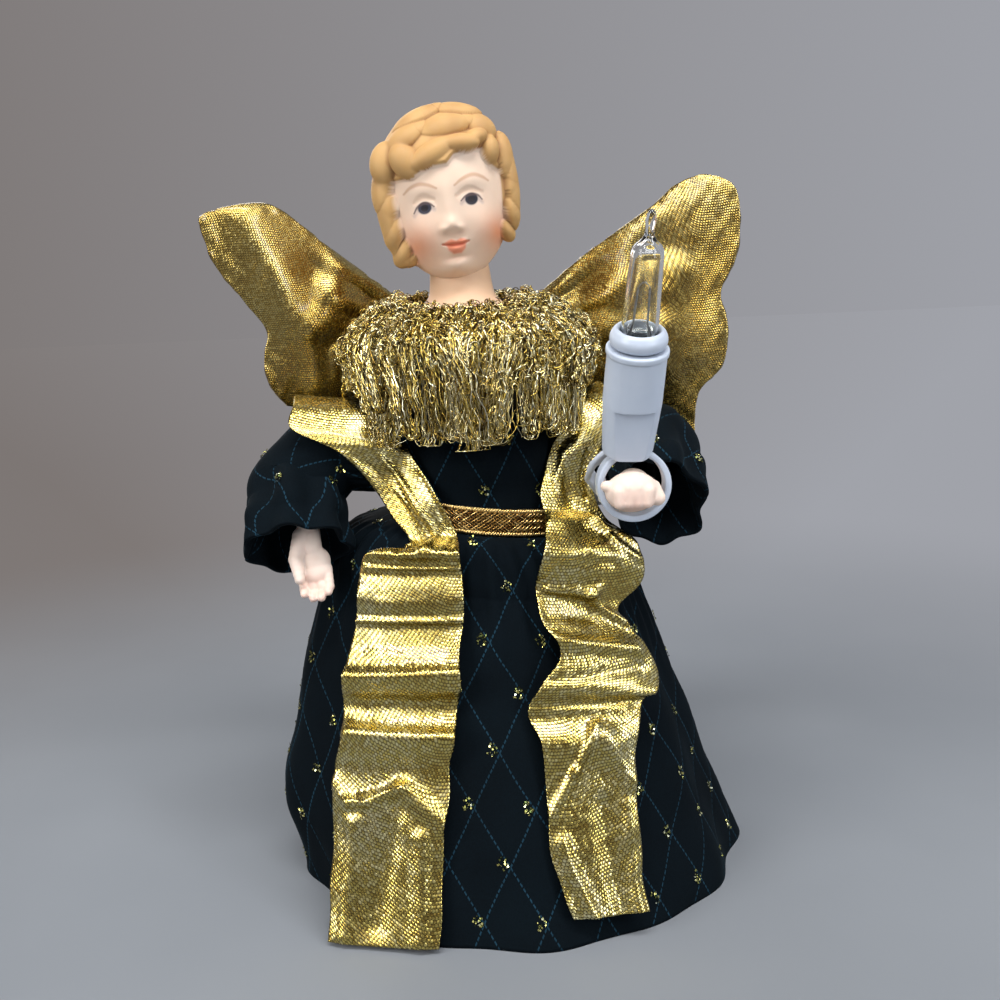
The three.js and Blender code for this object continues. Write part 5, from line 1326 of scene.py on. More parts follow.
def back_locks():
    """Rings of locks round the back of the head: centre, radii and turn of each."""
    rng = np.random.default_rng(47)
    for ring_z, ring_count, size in ((4.5, 11, 3.4), (-1.5, 12, 3.3), (-7, 11, 3.1), (-11, 8, 2.5)):
        for k in range(ring_count):
            angle = math.pi * (0.05 + 0.9 * (k + 0.5 * (ring_z in (-1.5, -11))) / ring_count)
            across = math.sqrt(1 - (ring_z / FACE.hair_z) ** 2)
            centre = (0.86 * FACE.hair_x * across * math.cos(angle),
                      0.86 * FACE.hair_y * across * math.sin(angle), ring_z)
            full = size * mix(0.72, 1.0, math.sin(angle))
            radii = (full * rng.uniform(0.85, 1.0), full * rng.uniform(0.85, 1.0),
                     full * rng.uniform(0.9, 1.15))
            yield centre, radii, rng.uniform(-0.5, 0.5)


def head_surface():
    """The head's points with, at each, its place on the plain face, its share of hair and of a lock."""
    columns, rows = 460, 360
    u = ring_angles(columns)
    azimuth = u - 0.42 * np.sin(u) - math.pi / 2
    elevation = np.linspace(-1.565, 1.565, rows)[:, None]
    d = np.stack([np.cos(elevation) * np.cos(azimuth), np.cos(elevation) * np.sin(azimuth),
                  np.sin(elevation) + 0 * azimuth], -1)
    chin = ease(-d[..., 2] / 0.6) * ease((0.45 - d[..., 1]) / 0.7)
    tall = FACE.z + FACE.chin * chin
    base = 1 / np.sqrt((d[..., 0] / FACE.x) ** 2 + (d[..., 1] / FACE.y) ** 2 + (d[..., 2] / tall) ** 2)
    cap = 1 / np.linalg.norm(d / [FACE.hair_x, FACE.hair_y, FACE.hair_z], axis=-1)
    x, y, z = (d * base[..., None]).transpose(2, 0, 1)
    face = inside_share(x, z, HAIRLINE, 0.45) * ease(-y / 1.5)
    jaw = ease((-z - 8.6) / 4.5)
    hair = (1 - face) * (1 - jaw * ease((6 - np.abs(x)) / 2 + 0.4))
    nape = ease((z + 11) / 4)
    swirl = np.sin(6 * azimuth + 2.4 * np.sin(4 * elevation + 0.6)) * np.cos(elevation)
    combed = 0.16 * np.sin(34 * azimuth + 5 * np.sin(5 * elevation)) * np.cos(elevation)
    backward = ease((y + 3) / 5)
    waves = (0.5 * swirl + 0.35 * combed) * backward + 0.12 * combed
    reach = mix(base, cap + waves, hair * nape)
    soft = np.exp(reach / melt.soft)
    for lx, ly, lz, rx, ry, rz, turn in SOFT_LOCKS:
        soft += np.exp(ellipsoid_reach(d, (lx, ly, lz), (rx, ry, rz), turn) / melt.soft)
    for centre, radii, turn in back_locks():
        soft += np.exp(ellipsoid_reach(d, centre, radii, turn) / melt.soft)
    total = np.exp(melt.soft * np.log(soft) / melt.sharp)
    for lx, ly, lz, rx, ry, rz, turn in HAIR_LOCKS:
        total += np.exp(ellipsoid_reach(d, (lx, ly, lz), (rx, ry, rz), turn) / melt.sharp)
    melted = melt.sharp * np.log(total)
    on_lock = ease((melted - reach - 0.12) / 0.25)
    forward = np.zeros(x.shape)
    for bx, bz, wide, high, height in FACE_BUMPS:
        forward += height * np.exp(-(((x - bx) / wide) ** 2) - ((z - bz) / high) ** 2)
    lids = (0.08 * stroke(x, z, LID_RIGHT, 0.6) + 0.08 * stroke(x, z, LID_LEFT, 0.6)
            - 0.08 * stroke(x, z, CREASE_RIGHT, 0.5) - 0.08 * stroke(x, z, CREASE_LEFT, 0.5)
            - 0.25 * stroke(x, z, MOUTH_LINE, 0.3))
    forward = (forward + lids) * ease(-y / 3) * (1 - on_lock) * np.maximum(face, jaw)
    points = d * melted[..., None]
    points[..., 1] -= forward
    return points, x, y, z, hair * nape, on_lock


def paint_head(points, x, y, z, hair, on_lock):
    rows, columns = x.shape

    def soften(v, passes):
        for _ in range(passes):
            v = (v + np.roll(v, 1, 1) + np.roll(v, -1, 1) + np.pad(v, ((1, 0), (0, 0)), "edge")[:-1]
                 + np.pad(v, ((0, 1), (0, 0)), "edge")[1:]) / 5
        return v

    # Painted shade: the hair is darkened where its surface dips below the smoothed surface round it, in the
    # grooves between locks.
    reach = np.linalg.norm(points, axis=-1)
    painted_groove_shade = np.clip((soften(reach, 24) - reach) / 0.35, 0, 1)[..., None]
    colours = np.broadcast_to(np.array(SKIN), (rows, columns, 3)).copy()

    def lay(amount, colour):
        nonlocal colours
        colours = colours + (np.array(colour) - colours) * np.clip(amount, 0, 1)[..., None]

    front = ease(-y / 2)
    lay(0.5 * ease((z - 0.5) / 4), COLD_SKIN)
    for cx, cz, size, power in CHEEKS:
        lay(power * np.exp(-(((x - cx) / size) ** 2 + ((z - cz) / size) ** 2) ** 0.8) * front, CORAL)
    lay(0.12 * np.exp(-((x + 0.6) / 2.0) ** 2 - ((z + 9.1) / 0.7) ** 2) * front, CORAL)
    lay(0.16 * np.exp(-((x + 0.5) / 2.6) ** 2 - ((z + 13) / 0.8) ** 2) * front, CORAL)
    lay(0.2 * front * (stroke(x, z, CREASE_RIGHT, 0.55) + stroke(x, z, CREASE_LEFT, 0.55)), BROW)
    for lid in (LID_RIGHT, LID_LEFT):
        lay(0.35 * front * stroke(x, z + 0.55, lid, 0.5), LID_SHADE)
    for brow in (BROW_RIGHT, BROW_LEFT):
        lay(0.62 * front * stroke(x, z, brow, 0.33), BROW)
    # The figure's right iris carries a painted reflection, so it is lighter than the left.
    for cx, cz, iris in ((-5.0, -3.95, RIGHT_IRIS_WITH_PAINTED_REFLECTION), (3.3, -3.7, LEFT_IRIS)):
        lay(0.2 * front * ease(1.6 - np.hypot((x - cx) / 1.6, (z - cz) / 1.0)), EYE_WHITE)
        lay(front * ease(4.2 - 3.4 * np.hypot((x - cx) / 1.08, (z - cz - 0.1) / 0.95)), iris)
        lay(front * ease(3 - 2.4 * np.hypot((x - cx) / 0.6, (z - cz - 0.1) / 0.55)), PUPIL)
    for lid in (LID_RIGHT, LID_LEFT):
        lay(0.85 * front * stroke(x, z, lid, 0.22), LASH)
    lay(0.8 * front * inside_share(x, z, UPPER_LIP, 0.25), LIP)
    lay(0.78 * front * inside_share(x, z, LOWER_LIP, 0.25), LOWER_LIP_RED)
    lay(0.55 * front * stroke(x, z, MOUTH_LINE, 0.22), MOUTH)
    # Hair colour: darker at random, and darker still in the grooves as painted shade.
    dark = 0.12 * (ripple(x, z, 5, 61) + 1)
    tone = mix(np.array(HAIR), np.array(HAIR_DARK_AND_GROOVE_SHADE), np.clip(dark[..., None] + 0.9 * painted_groove_shade, 0, 1))
    share = np.clip(np.maximum(hair, on_lock), 0, 1)[..., None]
    return mix(colours, tone, ease((share - 0.35) / 0.3))


def to_head(points):
    """From the head's own axes to the figure: turned a little, tilted to its right."""
    ct, st, ci, si = math.cos(head.turn), math.sin(head.turn), math.cos(head.tilt), math.sin(head.tilt)
    x = points[..., 0] * ct - points[..., 1] * st
    y = points[..., 0] * st + points[..., 1] * ct
    z = points[..., 2]
    return np.stack([x * ci - z * si + head.x, y, x * si + z * ci + head.z], -1)


def make_head():
    points, x, y, z, hair, on_lock = head_surface()
    colours = paint_head(points, x, y, z, hair, on_lock)
    piece = grid_piece("head_bisque", to_head(points), finishes.bisque, ring_columns=True, colours=colours)
    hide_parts("bisque_head")
    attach(piece, "figure")


def make_neck():
    """Neck and shoulder plate as one wall, from rows of level, half width and half depth."""
    levels = [(119.5, 3.5, 3.6), (118.0, 4.8, 4.7), (115.5, 5.4, 5.1), (plate.neck_z, 5.85, 5.5),
              (109.2, 6.3, 6.1), (plate.collar_z, plate.collar_x, plate.collar_y), (105.4, 10.2, 8.7),
              (plate.slope_z, plate.slope_x, plate.slope_y), (102.2, 13.8, 10.9),
              (plate.edge_z, plate.edge_x, plate.edge_y)]
    rows = catmull(np.array(levels), 60)
    a = ring_angles(96)

    def loops(inset):
        return np.stack([line_x(rows[:, :1]) + (rows[:, 1:2] - inset) * np.cos(a),
                         (rows[:, 2:3] - inset) * np.sin(a) + 0.9 * ease((rows[:, :1] - 107) / 5),
                         rows[:, :1] + 0 * a], -1)

    full = np.concatenate([loops(0), loops(plate.wall)[::-1]])
    colours = np.broadcast_to(np.array(SKIN) * NECK_SHADE, full.shape).copy()
    piece = grid_piece("neck_plate", full, finishes.bisque, ring_rows=True, ring_columns=True,
                       colours=colours)
    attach(piece, "figure")


# Hands.
def turned(direction):
    """Axes whose third runs along a direction."""
    w = unit(np.asarray(direction, float))
    u = unit(np.cross(w, [0, 0, 1.0] if abs(w[2]) < 0.9 else [0, 1.0, 0]))
    return np.stack([u, np.cross(w, u), w], 1)


def limb(start, end, radius, end_radius, count=7):
    """A tapered round limb as a row of lumps."""
    start, end = np.asarray(start, float), np.asarray(end, float)
    step = np.linalg.norm(end - start) / max(count - 1, 1)
    lumps = []
    for t in np.linspace(0, 1, count):
        r = mix(radius, end_radius, t)
        lumps.append((mix(start, end, t), (r, r, max(r, step)), turned(end - start)))
    return lumps


def paint_hand(piece, colour, tips):
    """One colour, warmer near the finger tips: tips is their middle and how far the warmth reaches."""
    mesh = piece.data
    layer = mesh.color_attributes.new("paint", "FLOAT_COLOR", "POINT")
    points = np.empty(len(mesh.vertices) * 3, np.float32)
    mesh.vertices.foreach_get("co", points)
    points = points.reshape(-1, 3) / MM + MIDDLE
    colours = np.broadcast_to(np.array([*colour, 1.0]), (len(points), 4)).copy()
    near = np.exp(-((np.linalg.norm(points - tips[0], axis=1) / tips[1]) ** 2))[:, None]
    colours[:, :3] += (np.array(FINGER_TIP) - colours[:, :3]) * 0.5 * near
    layer.data.foreach_set("color", colours.astype(np.float32).ravel())


def make_right_hand():
    down = unit(np.array([0.13, -0.32, -0.94]))
    wrist = np.array([right_mouth.x + 0.22 * right_mouth.half_width,
                      right_mouth.y + 0.17 * right_mouth.half_width,
                      right_mouth.z + 0.42 * right_mouth.half_height])
    length = 14.5
    side = unit(np.cross(down, [0, 1.0, 0]))
    palm = np.cross(side, down)
    if palm[1] > 0:
        palm = -palm

    def at(share, aside=0, deep=0):
        return wrist + down * share * length + side * aside + palm * deep

    turn = np.stack([side, palm, down], 1)
    lumps = limb(at(0.0), at(0.3), 2.1, 1.95, 10)
    lumps += [(at(0.46), (3.2, 1.9, 3.0), turn), (at(0.58), (3.3, 1.8, 2.6), turn)]
    for aside, reach in ((-2.35, 0.9), (-0.8, 0.97), (0.8, 0.98), (2.3, 0.92)):
        lumps += limb(at(0.6, aside, 0.1), at(reach - 0.12, aside * 1.02, 0.5), 0.98, 0.9, 4)
        lumps += limb(at(reach - 0.12, aside * 1.02, 0.5), at(reach - 0.05, aside * 0.95, 1.9), 0.88, 0.75, 4)
    outward = -1 if side[0] > 0 else 1
    lumps += limb(at(0.12, outward * 1.4, 0.6), at(0.4, outward * 2.9, 1.9), 1.75, 1.3, 5)
    lumps += limb(at(0.4, outward * 2.9, 1.9), at(0.66, outward * 2.5, 2.5), 1.3, 1.0, 5)
    piece = clay("right_hand_bisque", lumps, 0.2, 4, finishes.bisque)
    paint_hand(piece, RIGHT_HAND_SKIN, (at(0.9, 0, 1), 3.5))
    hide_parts("right_hand")
    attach(piece, "right_arm")


def make_left_hand():
    fist = np.array([ring.x - 0.17 * ring.inner_radius, ring.front_y - 0.3 * ring.inner_radius,
                     ring.z - 0.12 * ring.inner_radius])
    through = np.array([ring.x, ring.front_y + ring.length / 2, ring.z - 0.06 * ring.inner_radius])
    wrist = np.array([mix(left_mouth.x, fist[0], 0.25), left_mouth.y + 1.35, mix(left_mouth.z, fist[2], 0.2)])
    lumps = limb(wrist, through, 2.75, 2.9, 30)
    upright = np.eye(3)
    lumps += [(mix(through, fist, 0.6), (3.5, 2.4, 3.1), upright),
              (fist + [0, -0.7, 0.1], (4.3, 2.8, 3.25), upright)]
    for aside in (-2.4, -0.8, 0.8, 2.3):
        knuckle = fist + [aside, -2.3, 1.0 - 0.1 * aside * aside]
        lumps += limb(knuckle, fist + [0.92 * aside, -2.4, -1.3], 1.15, 1.05, 4)
    lumps += limb(fist + [3.3, -0.6, 0.6], fist + [3.9, -1.3, -0.9], 1.3, 1.3, 4)
    lumps += [(fist + [-4.0, -1.0, 1.2], (1.05, 1.0, 0.95), upright)]
    piece = clay("left_hand_bisque", lumps, 0.2, 12, finishes.bisque)
    paint_hand(piece, LEFT_HAND_SKIN, (fist + [0, -2, -2], 3.5))
    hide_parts("left_hand")
    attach(piece, "left_arm")


# Lamp.
def on_ring(grid, y):
    """A turned form laid along the axis of the wrist's ring, with its level 0 at y."""
    return np.stack([grid[..., 0] + ring.x, grid[..., 2] + y, grid[..., 1] + ring.z], -1)


def make_ring():
    r, w = ring.outer_radius, ring.inner_radius
    profile = [(w, 0.0), (r, 0.0), (r, ring.length), (w, ring.length)]
    closed = round_profile([profile[3], *profile, profile[0]], 0.35)[1:-1]
    placed = on_ring(lathe_grid(closed, 96), ring.front_y)
    piece = grid_piece("lamp_ring_white", placed, finishes.white, ring_rows=True, ring_columns=True,
                       uv=wrap_uv(loops_uv(placed)), flip=True)
    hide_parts("lamp_ring")
    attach(piece, "left_arm")


def smooth_by_angle(piece, degrees=35):
    mesh = piece.data
    mesh.shade_smooth()
    mesh.set_sharp_from_angle(angle=math.radians(degrees))


def make_socket():
    h, lip = lamp.socket_height, lamp.lip
    floor = h - lamp.bore_depth
    step_radius = mix(lamp.bottom_radius, lamp.top_radius, 0.75)
    outside = [(NEAR_AXIS, 0), (lamp.bottom_radius - 0.15 * lip, 0), (lamp.bottom_radius, 0.6 * lip),
               (step_radius, lamp.step_height), (lamp.top_radius - 0.22 * lip, h - 1.3 * lip),
               (lamp.top_radius - 0.2 * lip, h - lip), (lamp.top_radius, h - 0.85 * lip),
               (lamp.top_radius, h - 0.2 * lip), (lamp.top_radius - 0.2 * lip, h),
               (lamp.bore_radius + 0.25, h), (lamp.bore_radius, h - 0.3), (lamp.bore_radius, floor),
               (NEAR_AXIS, floor)]
    profile = round_profile(outside, 0.3)
    dense = even(profile, 260)
    z = dense[:, 1]
    outer_wall = np.arange(len(dense)) < np.argmax(z) + 6
    # The flat-sided lower part stops in a curved lip below the round upper part.
    depth = np.where(outer_wall & (z < lamp.step_height), lamp.flat_depth, 99)
    rise = ease((z - lamp.step_height + 0.5) / 0.5) * outer_wall
    lower = outer_wall & (z < lamp.step_height + 0.1)
    depth = np.where(lower, mix(lamp.flat_depth, lamp.top_radius, rise), depth)
    grid = on_lamp(lathe_grid(dense, 120, depth))
    piece = grid_piece("lamp_socket_white", grid, finishes.white, ring_columns=True)
    reach = ring.length / 2 + GAP
    saddle = ring.outer_radius + GAP
    saddle_profile = [(NEAR_AXIS, -reach), (saddle, -reach), (saddle, reach), (NEAR_AXIS, reach)]
    placed = on_ring(lathe_grid(saddle_profile, 120), ring.front_y + ring.length / 2)
    tool = grid_piece("saddle_tool", placed, finishes.white, ring_columns=True, flip=True)
    for made in (piece, tool):
        close_poles(made)
    cut = piece.modifiers.new("saddle", "BOOLEAN")
    cut.operation = "DIFFERENCE"
    cut.solver = "EXACT"
    cut.object = tool
    apply_modifiers(piece)
    bpy.data.objects.remove(tool)
    smooth_by_angle(piece)
    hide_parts("lamp_socket")
    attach(piece, "left_arm")


def close_poles(piece):
    """Closes the tiny holes at a turned piece's axis."""
    work = bmesh.new()
    work.from_mesh(piece.data)
    bmesh.ops.holes_fill(work, edges=[e for e in work.edges if e.is_boundary], sides=0)
    bmesh.ops.recalc_face_normals(work, faces=work.faces)
    work.to_mesh(piece.data)
    work.free()


def turned_piece(name, profile, sides, material, radius):
    grid = lathe_grid(round_profile(profile, radius), sides)
    piece = grid_piece(name, on_lamp(grid), material, ring_columns=True)
    close_poles(piece)
    smooth_by_angle(piece)
    return piece


# Heights on the lamp's axis, and the radius of the glass bead that carries the bulb's supports.
CAP_FLOOR = lamp.socket_height + GAP
CAP_TOP = CAP_FLOOR + lamp.cap_height
GLASS_FLOOR = CAP_FLOOR + lamp.cap_height * 0.35
GLASS_SHOULDER = GLASS_FLOOR + lamp.glass_height
TIP_TOP = GLASS_SHOULDER + lamp.tip_height
GLASS_WALL = lamp.glass_wall * 0.8
BEAD_FLOOR = GLASS_FLOOR + GAP
BEAD_RADIUS = lamp.glass_radius - GLASS_WALL - 0.3


def make_bulb_base():
    hole = lamp.glass_radius + 0.15

    def up_cap(share):
        return mix(CAP_FLOOR, CAP_TOP, share)

    cap = [(NEAR_AXIS, CAP_FLOOR - lamp.base_length), (lamp.base_radius, CAP_FLOOR - lamp.base_length),
           (lamp.base_radius, CAP_FLOOR), (lamp.cap_radius * 0.93, CAP_FLOOR), (lamp.cap_radius, up_cap(0.3)),
           (lamp.cap_radius * 0.985, up_cap(0.6)), (lamp.cap_radius * 0.88, up_cap(0.9)),
           (lamp.cap_radius * 0.78, CAP_TOP), (hole + 0.25, CAP_TOP - 0.05), (hole, CAP_TOP - 0.4),
           (hole, GLASS_FLOOR), (NEAR_AXIS, GLASS_FLOOR)]
    piece = turned_piece("bulb_base_white", cap, 96, finishes.white, 0.7)
    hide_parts("bulb_base")
    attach(piece, "bulb")


def make_bulb_glass():
    r, top, tip = lamp.glass_radius, lamp.glass_top_radius, lamp.tip_radius

    def up_tip(share):
        return mix(GLASS_SHOULDER, TIP_TOP, share)

    outside = [(r - GLASS_WALL, GLASS_FLOOR + 0.1), (r, GLASS_FLOOR + 0.1), (r, GLASS_FLOOR + 2),
               (top, GLASS_SHOULDER), (top * 0.86, up_tip(0.14)), (top * 0.5, up_tip(0.26)),
               (tip * 1.25, up_tip(0.4)), (tip * 1.1, up_tip(0.55)), (tip * 1.5, up_tip(0.72)),
               (tip * 1.2, up_tip(0.88)), (tip * 0.6, up_tip(0.97)), (NEAR_AXIS, TIP_TOP)]
    inside = [(NEAR_AXIS, up_tip(0.3)), (0.35, up_tip(0.27)), (top * 0.42, up_tip(0.14)),
              (top * 0.75, up_tip(0.04)), (top - GLASS_WALL, GLASS_SHOULDER - GLASS_WALL),
              (r - GLASS_WALL, GLASS_FLOOR + 2), (r - GLASS_WALL, GLASS_FLOOR + 0.1)]
    shell = np.concatenate([round_profile(outside, 0.7), round_profile(inside, 0.5)])
    piece = grid_piece("bulb_glass_clear", on_lamp(lathe_grid(shell, 72)), finishes.glass, ring_rows=True,
                       ring_columns=True)
    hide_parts("bulb_glass")
    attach(piece, "bulb")


def make_filament():
    """The bead, the two supports that stand in it, and the coil between their tops."""
    floor, r = BEAD_FLOOR, BEAD_RADIUS
    profile = [(NEAR_AXIS, floor), (r * 0.8, floor), (r, floor + r * 0.5), (r * 0.75, floor + r),
               (NEAR_AXIS, floor + r * 1.15)]
    bead = turned_piece("bulb_bead", profile, 40, finishes.glass, 0.5)
    spread, top = 0.42 * r, floor + r + lamp.glass_height * 0.42
    t = np.linspace(0, 1, 20)
    wires = []
    for side in (-1, 1):
        x = side * (spread + 0.25 * np.sin(math.pi * t) * (1 - t))
        wires.append(np.stack([x, 0 * t + 0.08 * side * t, mix(floor, top, t)], -1))
    supports = tubes_piece("bulb_supports", on_lamp(np.array(wires)), 0.16, 8, finishes.steel)
    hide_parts("bulb_filament")
    turns, coil_radius = 18, 0.12
    t = np.linspace(0, 1, 160)
    arch = top - 0.1 + 0.9 * np.sin(math.pi * t) ** 0.8
    coil = np.stack([mix(-spread, spread, t), coil_radius * np.cos(turns * TAU * t),
                     arch + coil_radius * np.sin(turns * TAU * t)], -1)
    filament = tubes_piece("bulb_coil", on_lamp(coil[None]), 0.035, 5, finishes.steel)
    for piece in (bead, supports, filament):
        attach(piece, "bulb")


# Lead, plug, cone and stuffing. The lead's route: by the arm, then down the back.
ARM_LEAD = [(26, -30.2, 83.7), (24.2, -30, 82.6), (22.6, -28.8, 81.2), (22, -26, 80), (22.2, -22.5, 78.8),
            (22.4, -18.9, 77.7)]
BACK_LEAD = [(22.8, -17.9, 77), (23.6, -16, 75.8), (25.4, -12.6, 73.2), (25.8, -9, 71.4), (25.2, -3, 70.4),
             (23, 5, 70.8), (19, 12, 71.6), (13, 16.6, 71.6), (8, 18, 69), (6, 20, 64.4), (6, 21.6, 58),
             (6, 23.6, 52), (6.1, 26.8, 46.4), (6.4, 31.4, 40.6)]


def make_lead():
    """One twin lead from the holder to the plug: two round wires moulded side by side."""
    path = even(catmull(np.array(ARM_LEAD + BACK_LEAD, float), 900), 360)
    along = unit(np.gradient(path, axis=0))
    outward = unit(np.stack([path[:, 0] - line_x(path[:, 2]), path[:, 1], 0 * path[:, 0]], -1))
    wide = unit(np.cross(along, outward))
    thick = np.cross(wide, along)
    a = ring_angles(28)
    # Two lobes with a groove between them.
    lobe_x = np.sign(np.cos(a)) * (0.5 + 0.5 * np.abs(np.cos(a)) ** 0.8)
    x = lead.wide * np.where(np.abs(np.cos(a)) < 0.05, 0, lobe_x * np.abs(np.cos(a)) ** 0.35)
    y = lead.thick * np.sin(a) * (1 - 0.42 * np.abs(np.sin(a)) ** 8)
    loops = path[:, None] + x[:, None] * wide[:, None] + y[:, None] * thick[:, None]
    piece = grid_piece("twin_lead", loops, finishes.lead, ring_columns=True, uv=loops_uv(loops))
    close_poles(piece)
    piece.data.shade_smooth()
    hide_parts("lamp_lead", "back_lead")
    tuple(row((22.4, -22, 78.8)))
    tuple(row((25.8, -9, 71.4)))
    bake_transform(piece)


def make_plug():
    slope = math.atan2(skirt.hem_y - skirt.hip_y, skirt.hip_z)
    top = np.array(BACK_LEAD[-1]) - [0, 0, GAP]
    r, cap, length = lead.plug_radius, lead.cap_radius, lead.plug_length
    profile = [(NEAR_AXIS, -length), (r * 0.62, -length), (r * 0.7, -length + 0.5),
               (r * 0.8, -lead.cap_length - 0.1), (cap, -lead.cap_length), (cap, -lead.cap_length * 0.4),
               (cap * 0.7, -0.1), (NEAR_AXIS, 0)]
    dense = even(round_profile(profile, 0.4), 150)
    grid = lathe_grid(dense, 96)
    a = ring_angles(96)
    on_cap = (dense[:, 1] > -lead.cap_length) & (dense[:, 1] < -0.8)
    ribs = 1 + 0.03 * np.cos(16 * a) * on_cap[:, None]
    x, y, z = grid[..., 0] * ribs, grid[..., 1] * ribs, grid[..., 2]
    c, s = math.cos(slope), math.sin(slope)
    placed = np.stack([x, y * c - z * s, y * s + z * c], -1) + top
    piece = grid_piece("plug_white", placed, finishes.white, ring_columns=True)
    close_poles(piece)
    smooth_by_angle(piece, 30)
    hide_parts("lead_plug")
    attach(piece, "figure")


def make_cone():
    """Rolled card with its overlapped seam down the back."""
    levels = np.linspace(0, cone.top_z, 60)[:, None]
    a = (ring_angles(180) + math.pi / 2)[None, :]
    radius = mix(cone.base_radius, cone.top_radius, levels / cone.top_z)
    seam = 0.45 * ease((np.cos(a - math.pi / 2) - 0.93) / 0.02)
    wobble = 0.12 * ripple(a * 10, levels, 14, 81)

    def loops(inset):
        r = radius - inset - 0.15 + wobble * 0.4
        return np.stack([line_x(levels) + (r + seam * (inset == 0) * 0.25) * np.cos(a), r * np.sin(a),
                         levels + 0 * a], -1)

    outer, inner = loops(0), loops(cone.wall * 0.7)
    piece = shell_piece("support_cone_card", outer, inner, finishes.card, loops_uv(outer))
    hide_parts("support_cone")
    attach(piece, "figure")


def make_padding():
    levels = np.linspace(braid.z + braid.height / 2, plate.slope_z - GAP, 50)[:, None]
    a = ring_angles(150)[None, :]
    table = [
        [braid.z + 2.5, 14.5, 12.1], [bodice.chest_z, 15.3, 10.0],
        [plate.edge_z - plate.wall, 12.1, 8.9], [plate.slope_z, 8.4, 6.8]]
    rx, ry = radii_at(table, levels)
    fluff = 0.4 * ripple(a * 12, levels, 4, 91) - 0.4
    cone_r = mix(cone.base_radius, cone.top_radius, levels / cone.top_z) + GAP

    def loops(x_radius, y_radius):
        return np.stack([line_x(levels) + x_radius * np.cos(a), y_radius * np.sin(a), levels + 0 * a], -1)

    outer, inner = loops(rx + fluff, ry + fluff), loops(cone_r, cone_r)
    piece = shell_piece("torso_stuffing", outer, inner, finishes.stuffing, loops_uv(outer))
    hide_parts("torso_padding")
    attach(piece, "figure")


def dress_cad_nodes():
    """Metal that stays as the frame has it: wires, contacts and the bulb's leads."""
    wires = ("shoulder_wire", "right_arm_wire", "left_arm_wire", "bulb_lead_a", "bulb_lead_b",
             "left_wing_wire", "right_wing_wire")
    contacts = ("socket_contact_a", "socket_contact_b", "plug_contact_a", "plug_contact_b")
    for name in wires + contacts:
        node = bpy.data.objects[name]
        material = finishes.brass if name in contacts else finishes.steel
        if not node.material_slots:
            node.data.materials.append(material)
        for slot in node.material_slots:
            slot.material = material


# Room: a grey floor, a backdrop whose colour changes from side to side, and four soft lamps.
def lamp_light(name, place, aim, size, power, colour=(1, 1, 1)):
    data = bpy.data.lights.new(name, "AREA")
    data.shape = "RECTANGLE"
    data.size, data.size_y = size
    data.energy = power
    data.color = colour
    light = bpy.data.objects.new(name, data)
    bpy.context.collection.objects.link(light)
    way = unit(np.array(aim, float) - np.array(place, float))
    side = unit(np.cross(way, [0, 0, 1.0]))
    up = np.cross(side, way)
    turn = Matrix([[side[i], up[i], -way[i]] for i in range(3)])
    light.matrix_world = Matrix.Translation(place) @ turn.to_4x4()


VIEWERS_LEFT, VIEWERS_RIGHT = (0.2, 0.178, 0.17), (0.35, 0.36, 0.395)
BEHIND_CAMERA = (0.05, 0.045, 0.04)
WINDOW_WAY = (-0.28, -0.75, 0.6)
FLOOR_REACH = 3.0
FLOOR_FADE = (0.07, 0.33)


def across_room(f, direction):
    """The room's colour by direction, warm and dim on the viewer's left, cool and lighter on the viewer's
    right, and how far the direction runs away from the camera."""
    parts = f.node("SeparateXYZ", {0: direction}).outputs
    return f.ramp(f.span(parts["X"], -0.5, 0.5), (0.0, VIEWERS_LEFT), (1.0, VIEWERS_RIGHT)), parts["Y"]


def looked_at(f):
    """1 for rays of the camera, of reflections and through glass, 0 for those that carry light."""
    path = f.node("LightPath").outputs
    return f.calc("MAXIMUM", f.calc("MAXIMUM", path["Is Camera Ray"], path["Is Glossy Ray"]),
                  path["Is Transmission Ray"])


def make_world():
    scene = bpy.context.scene
    scene.view_settings.view_transform = "Standard"
    world = bpy.data.worlds.new("room")
    scene.world = world
    world.use_nodes = True
    f = Finish(None, world)
    f.shader.inputs["Color"].default_value = (0.96, 0.96, 1.0, 1)
    f.shader.inputs["Strength"].default_value = 0.36
    direction = f.node("TexCoord").outputs["Generated"]
    wall, ahead = across_room(f, direction)
    # The side behind the photographer is dim, with a window in it.
    dim = f.blend(f.span(ahead, -0.7, -0.2, 0.5, 0.0), wall, BEHIND_CAMERA)
    window = f.node("VectorMath", {0: direction, 1: tuple(unit(np.array(WINDOW_WAY)))},
                    operation="DOT_PRODUCT").outputs["Value"]
    seen = f.blend(f.span(window, 0.9, 0.97), dim, (1.0, 1.0, 1.0))
    shown = f.node("Background", {"Color": seen})
    blend = f.node("MixShader", {0: looked_at(f), 1: f.shader.outputs[0], 2: shown.outputs[0]})
    f.links.new(blend.outputs[0], f.nodes["World Output"].inputs["Surface"])


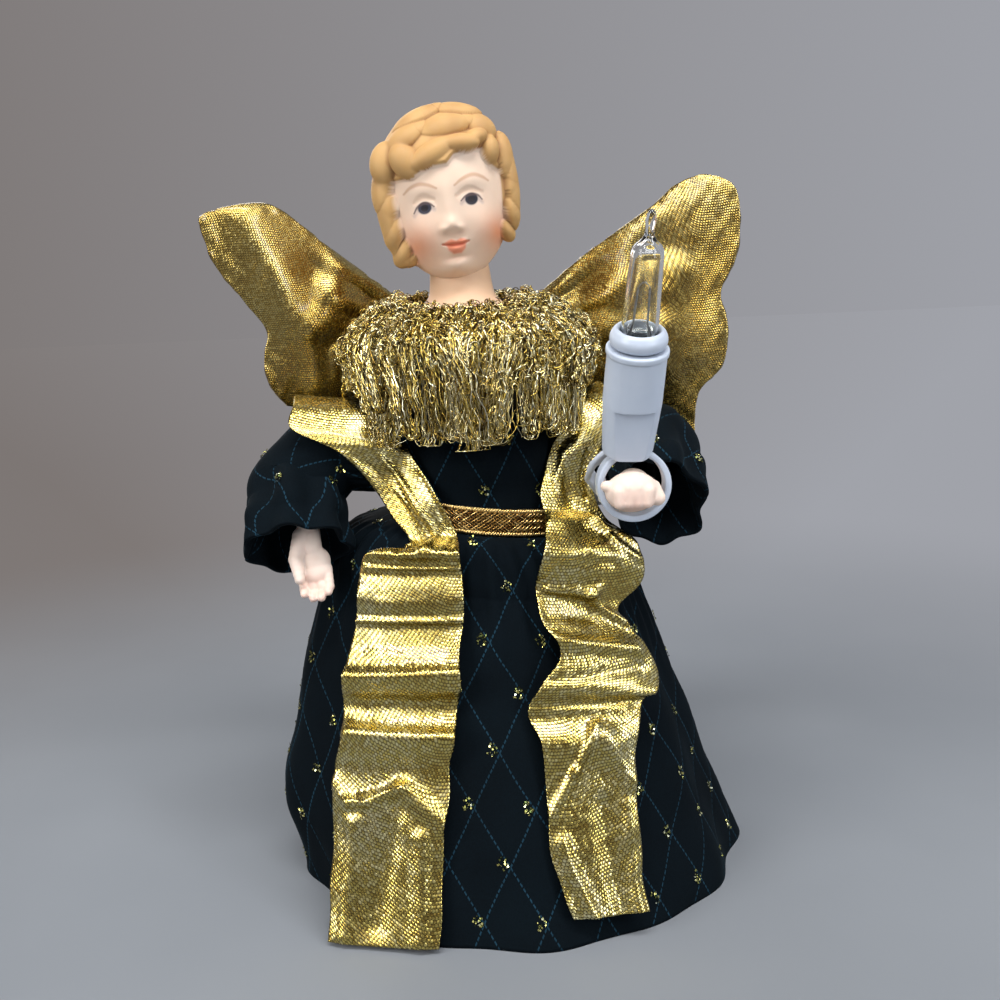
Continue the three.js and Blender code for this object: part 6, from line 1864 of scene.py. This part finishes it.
def make_floor():
    """A floor whose far parts take the room's colour, so that no edge shows."""
    f = Finish("floor", Roughness=0.9, Specular_IOR_Level=0.05)
    distance = f.node("VectorMath", {0: f.places()}, operation="LENGTH").outputs["Value"]
    away = f.node("MapRange", {"Value": distance, "From Min": FLOOR_FADE[0], "From Max": FLOOR_FADE[1]},
                  interpolation_type="SMOOTHSTEP").outputs["Result"]
    away = f.calc("MULTIPLY", away, looked_at(f))
    near = f.ramp(f.noise(14, 3), (0.3, (0.2, 0.215, 0.235)), (0.7, (0.22, 0.235, 0.255)))
    wall = across_room(f, f.vector("NORMALIZE", f.places()))[0]
    f.set(Base_Color=f.blend(away, near, (0, 0, 0)), Emission_Color=wall, Emission_Strength=away)
    mesh = bpy.data.meshes.new("floor")
    corners = [(x * FLOOR_REACH, y * FLOOR_REACH, 0) for x, y in ((-1, -1), (1, -1), (1, 1), (-1, 1))]
    mesh.from_pydata(corners, [], [(0, 1, 2, 3)])
    floor = link("floor", mesh, f.material)


def make_lamps():
    lamp_light("key", (-0.42, -0.3, 0.32), (0, 0, 0.08), (0.22, 0.3), 1.85, (1.0, 0.985, 0.96))
    lamp_light("top", (0.02, -0.2, 0.52), (0, 0, 0.06), (0.4, 0.1), 2.3)
    lamp_light("side", (0.33, -0.32, 0.26), (0, 0, 0.08), (0.12, 0.32), 1.1, (0.95, 0.97, 1.0))
    lamp_light("back", (-0.2, 0.45, 0.3), (0, 0, 0.08), (0.3, 0.3), 1.0)


make_world()
make_floor()
make_lamps()
make_lead()
make_plug()
make_cone()
make_padding()
make_skirt()
make_bodice()
make_sleeve("right_sleeve", -1, right_mouth, "right_arm", 13)
make_sleeve("left_sleeve", 1, left_mouth, "left_arm", 14)
make_ribbon("right_ribbon", -1, RIGHT_RIBBON_SHARES, RIGHT_CREASES, 15)
make_ribbon("left_ribbon", 1, LEFT_RIBBON_SHARES, LEFT_CREASES, 16)
make_wing("right_wing", -1, RIGHT_WING_SHARES, RIGHT_WING_CREASES, 17)
make_wing("left_wing", 1, LEFT_WING_SHARES, LEFT_WING_CREASES, 18)
make_wing_band()
make_collar()
make_braid()
make_head()
make_neck()
make_right_hand()
make_left_hand()
make_ring()
make_socket()
make_bulb_base()
make_bulb_glass()
make_filament()
dress_cad_nodes()
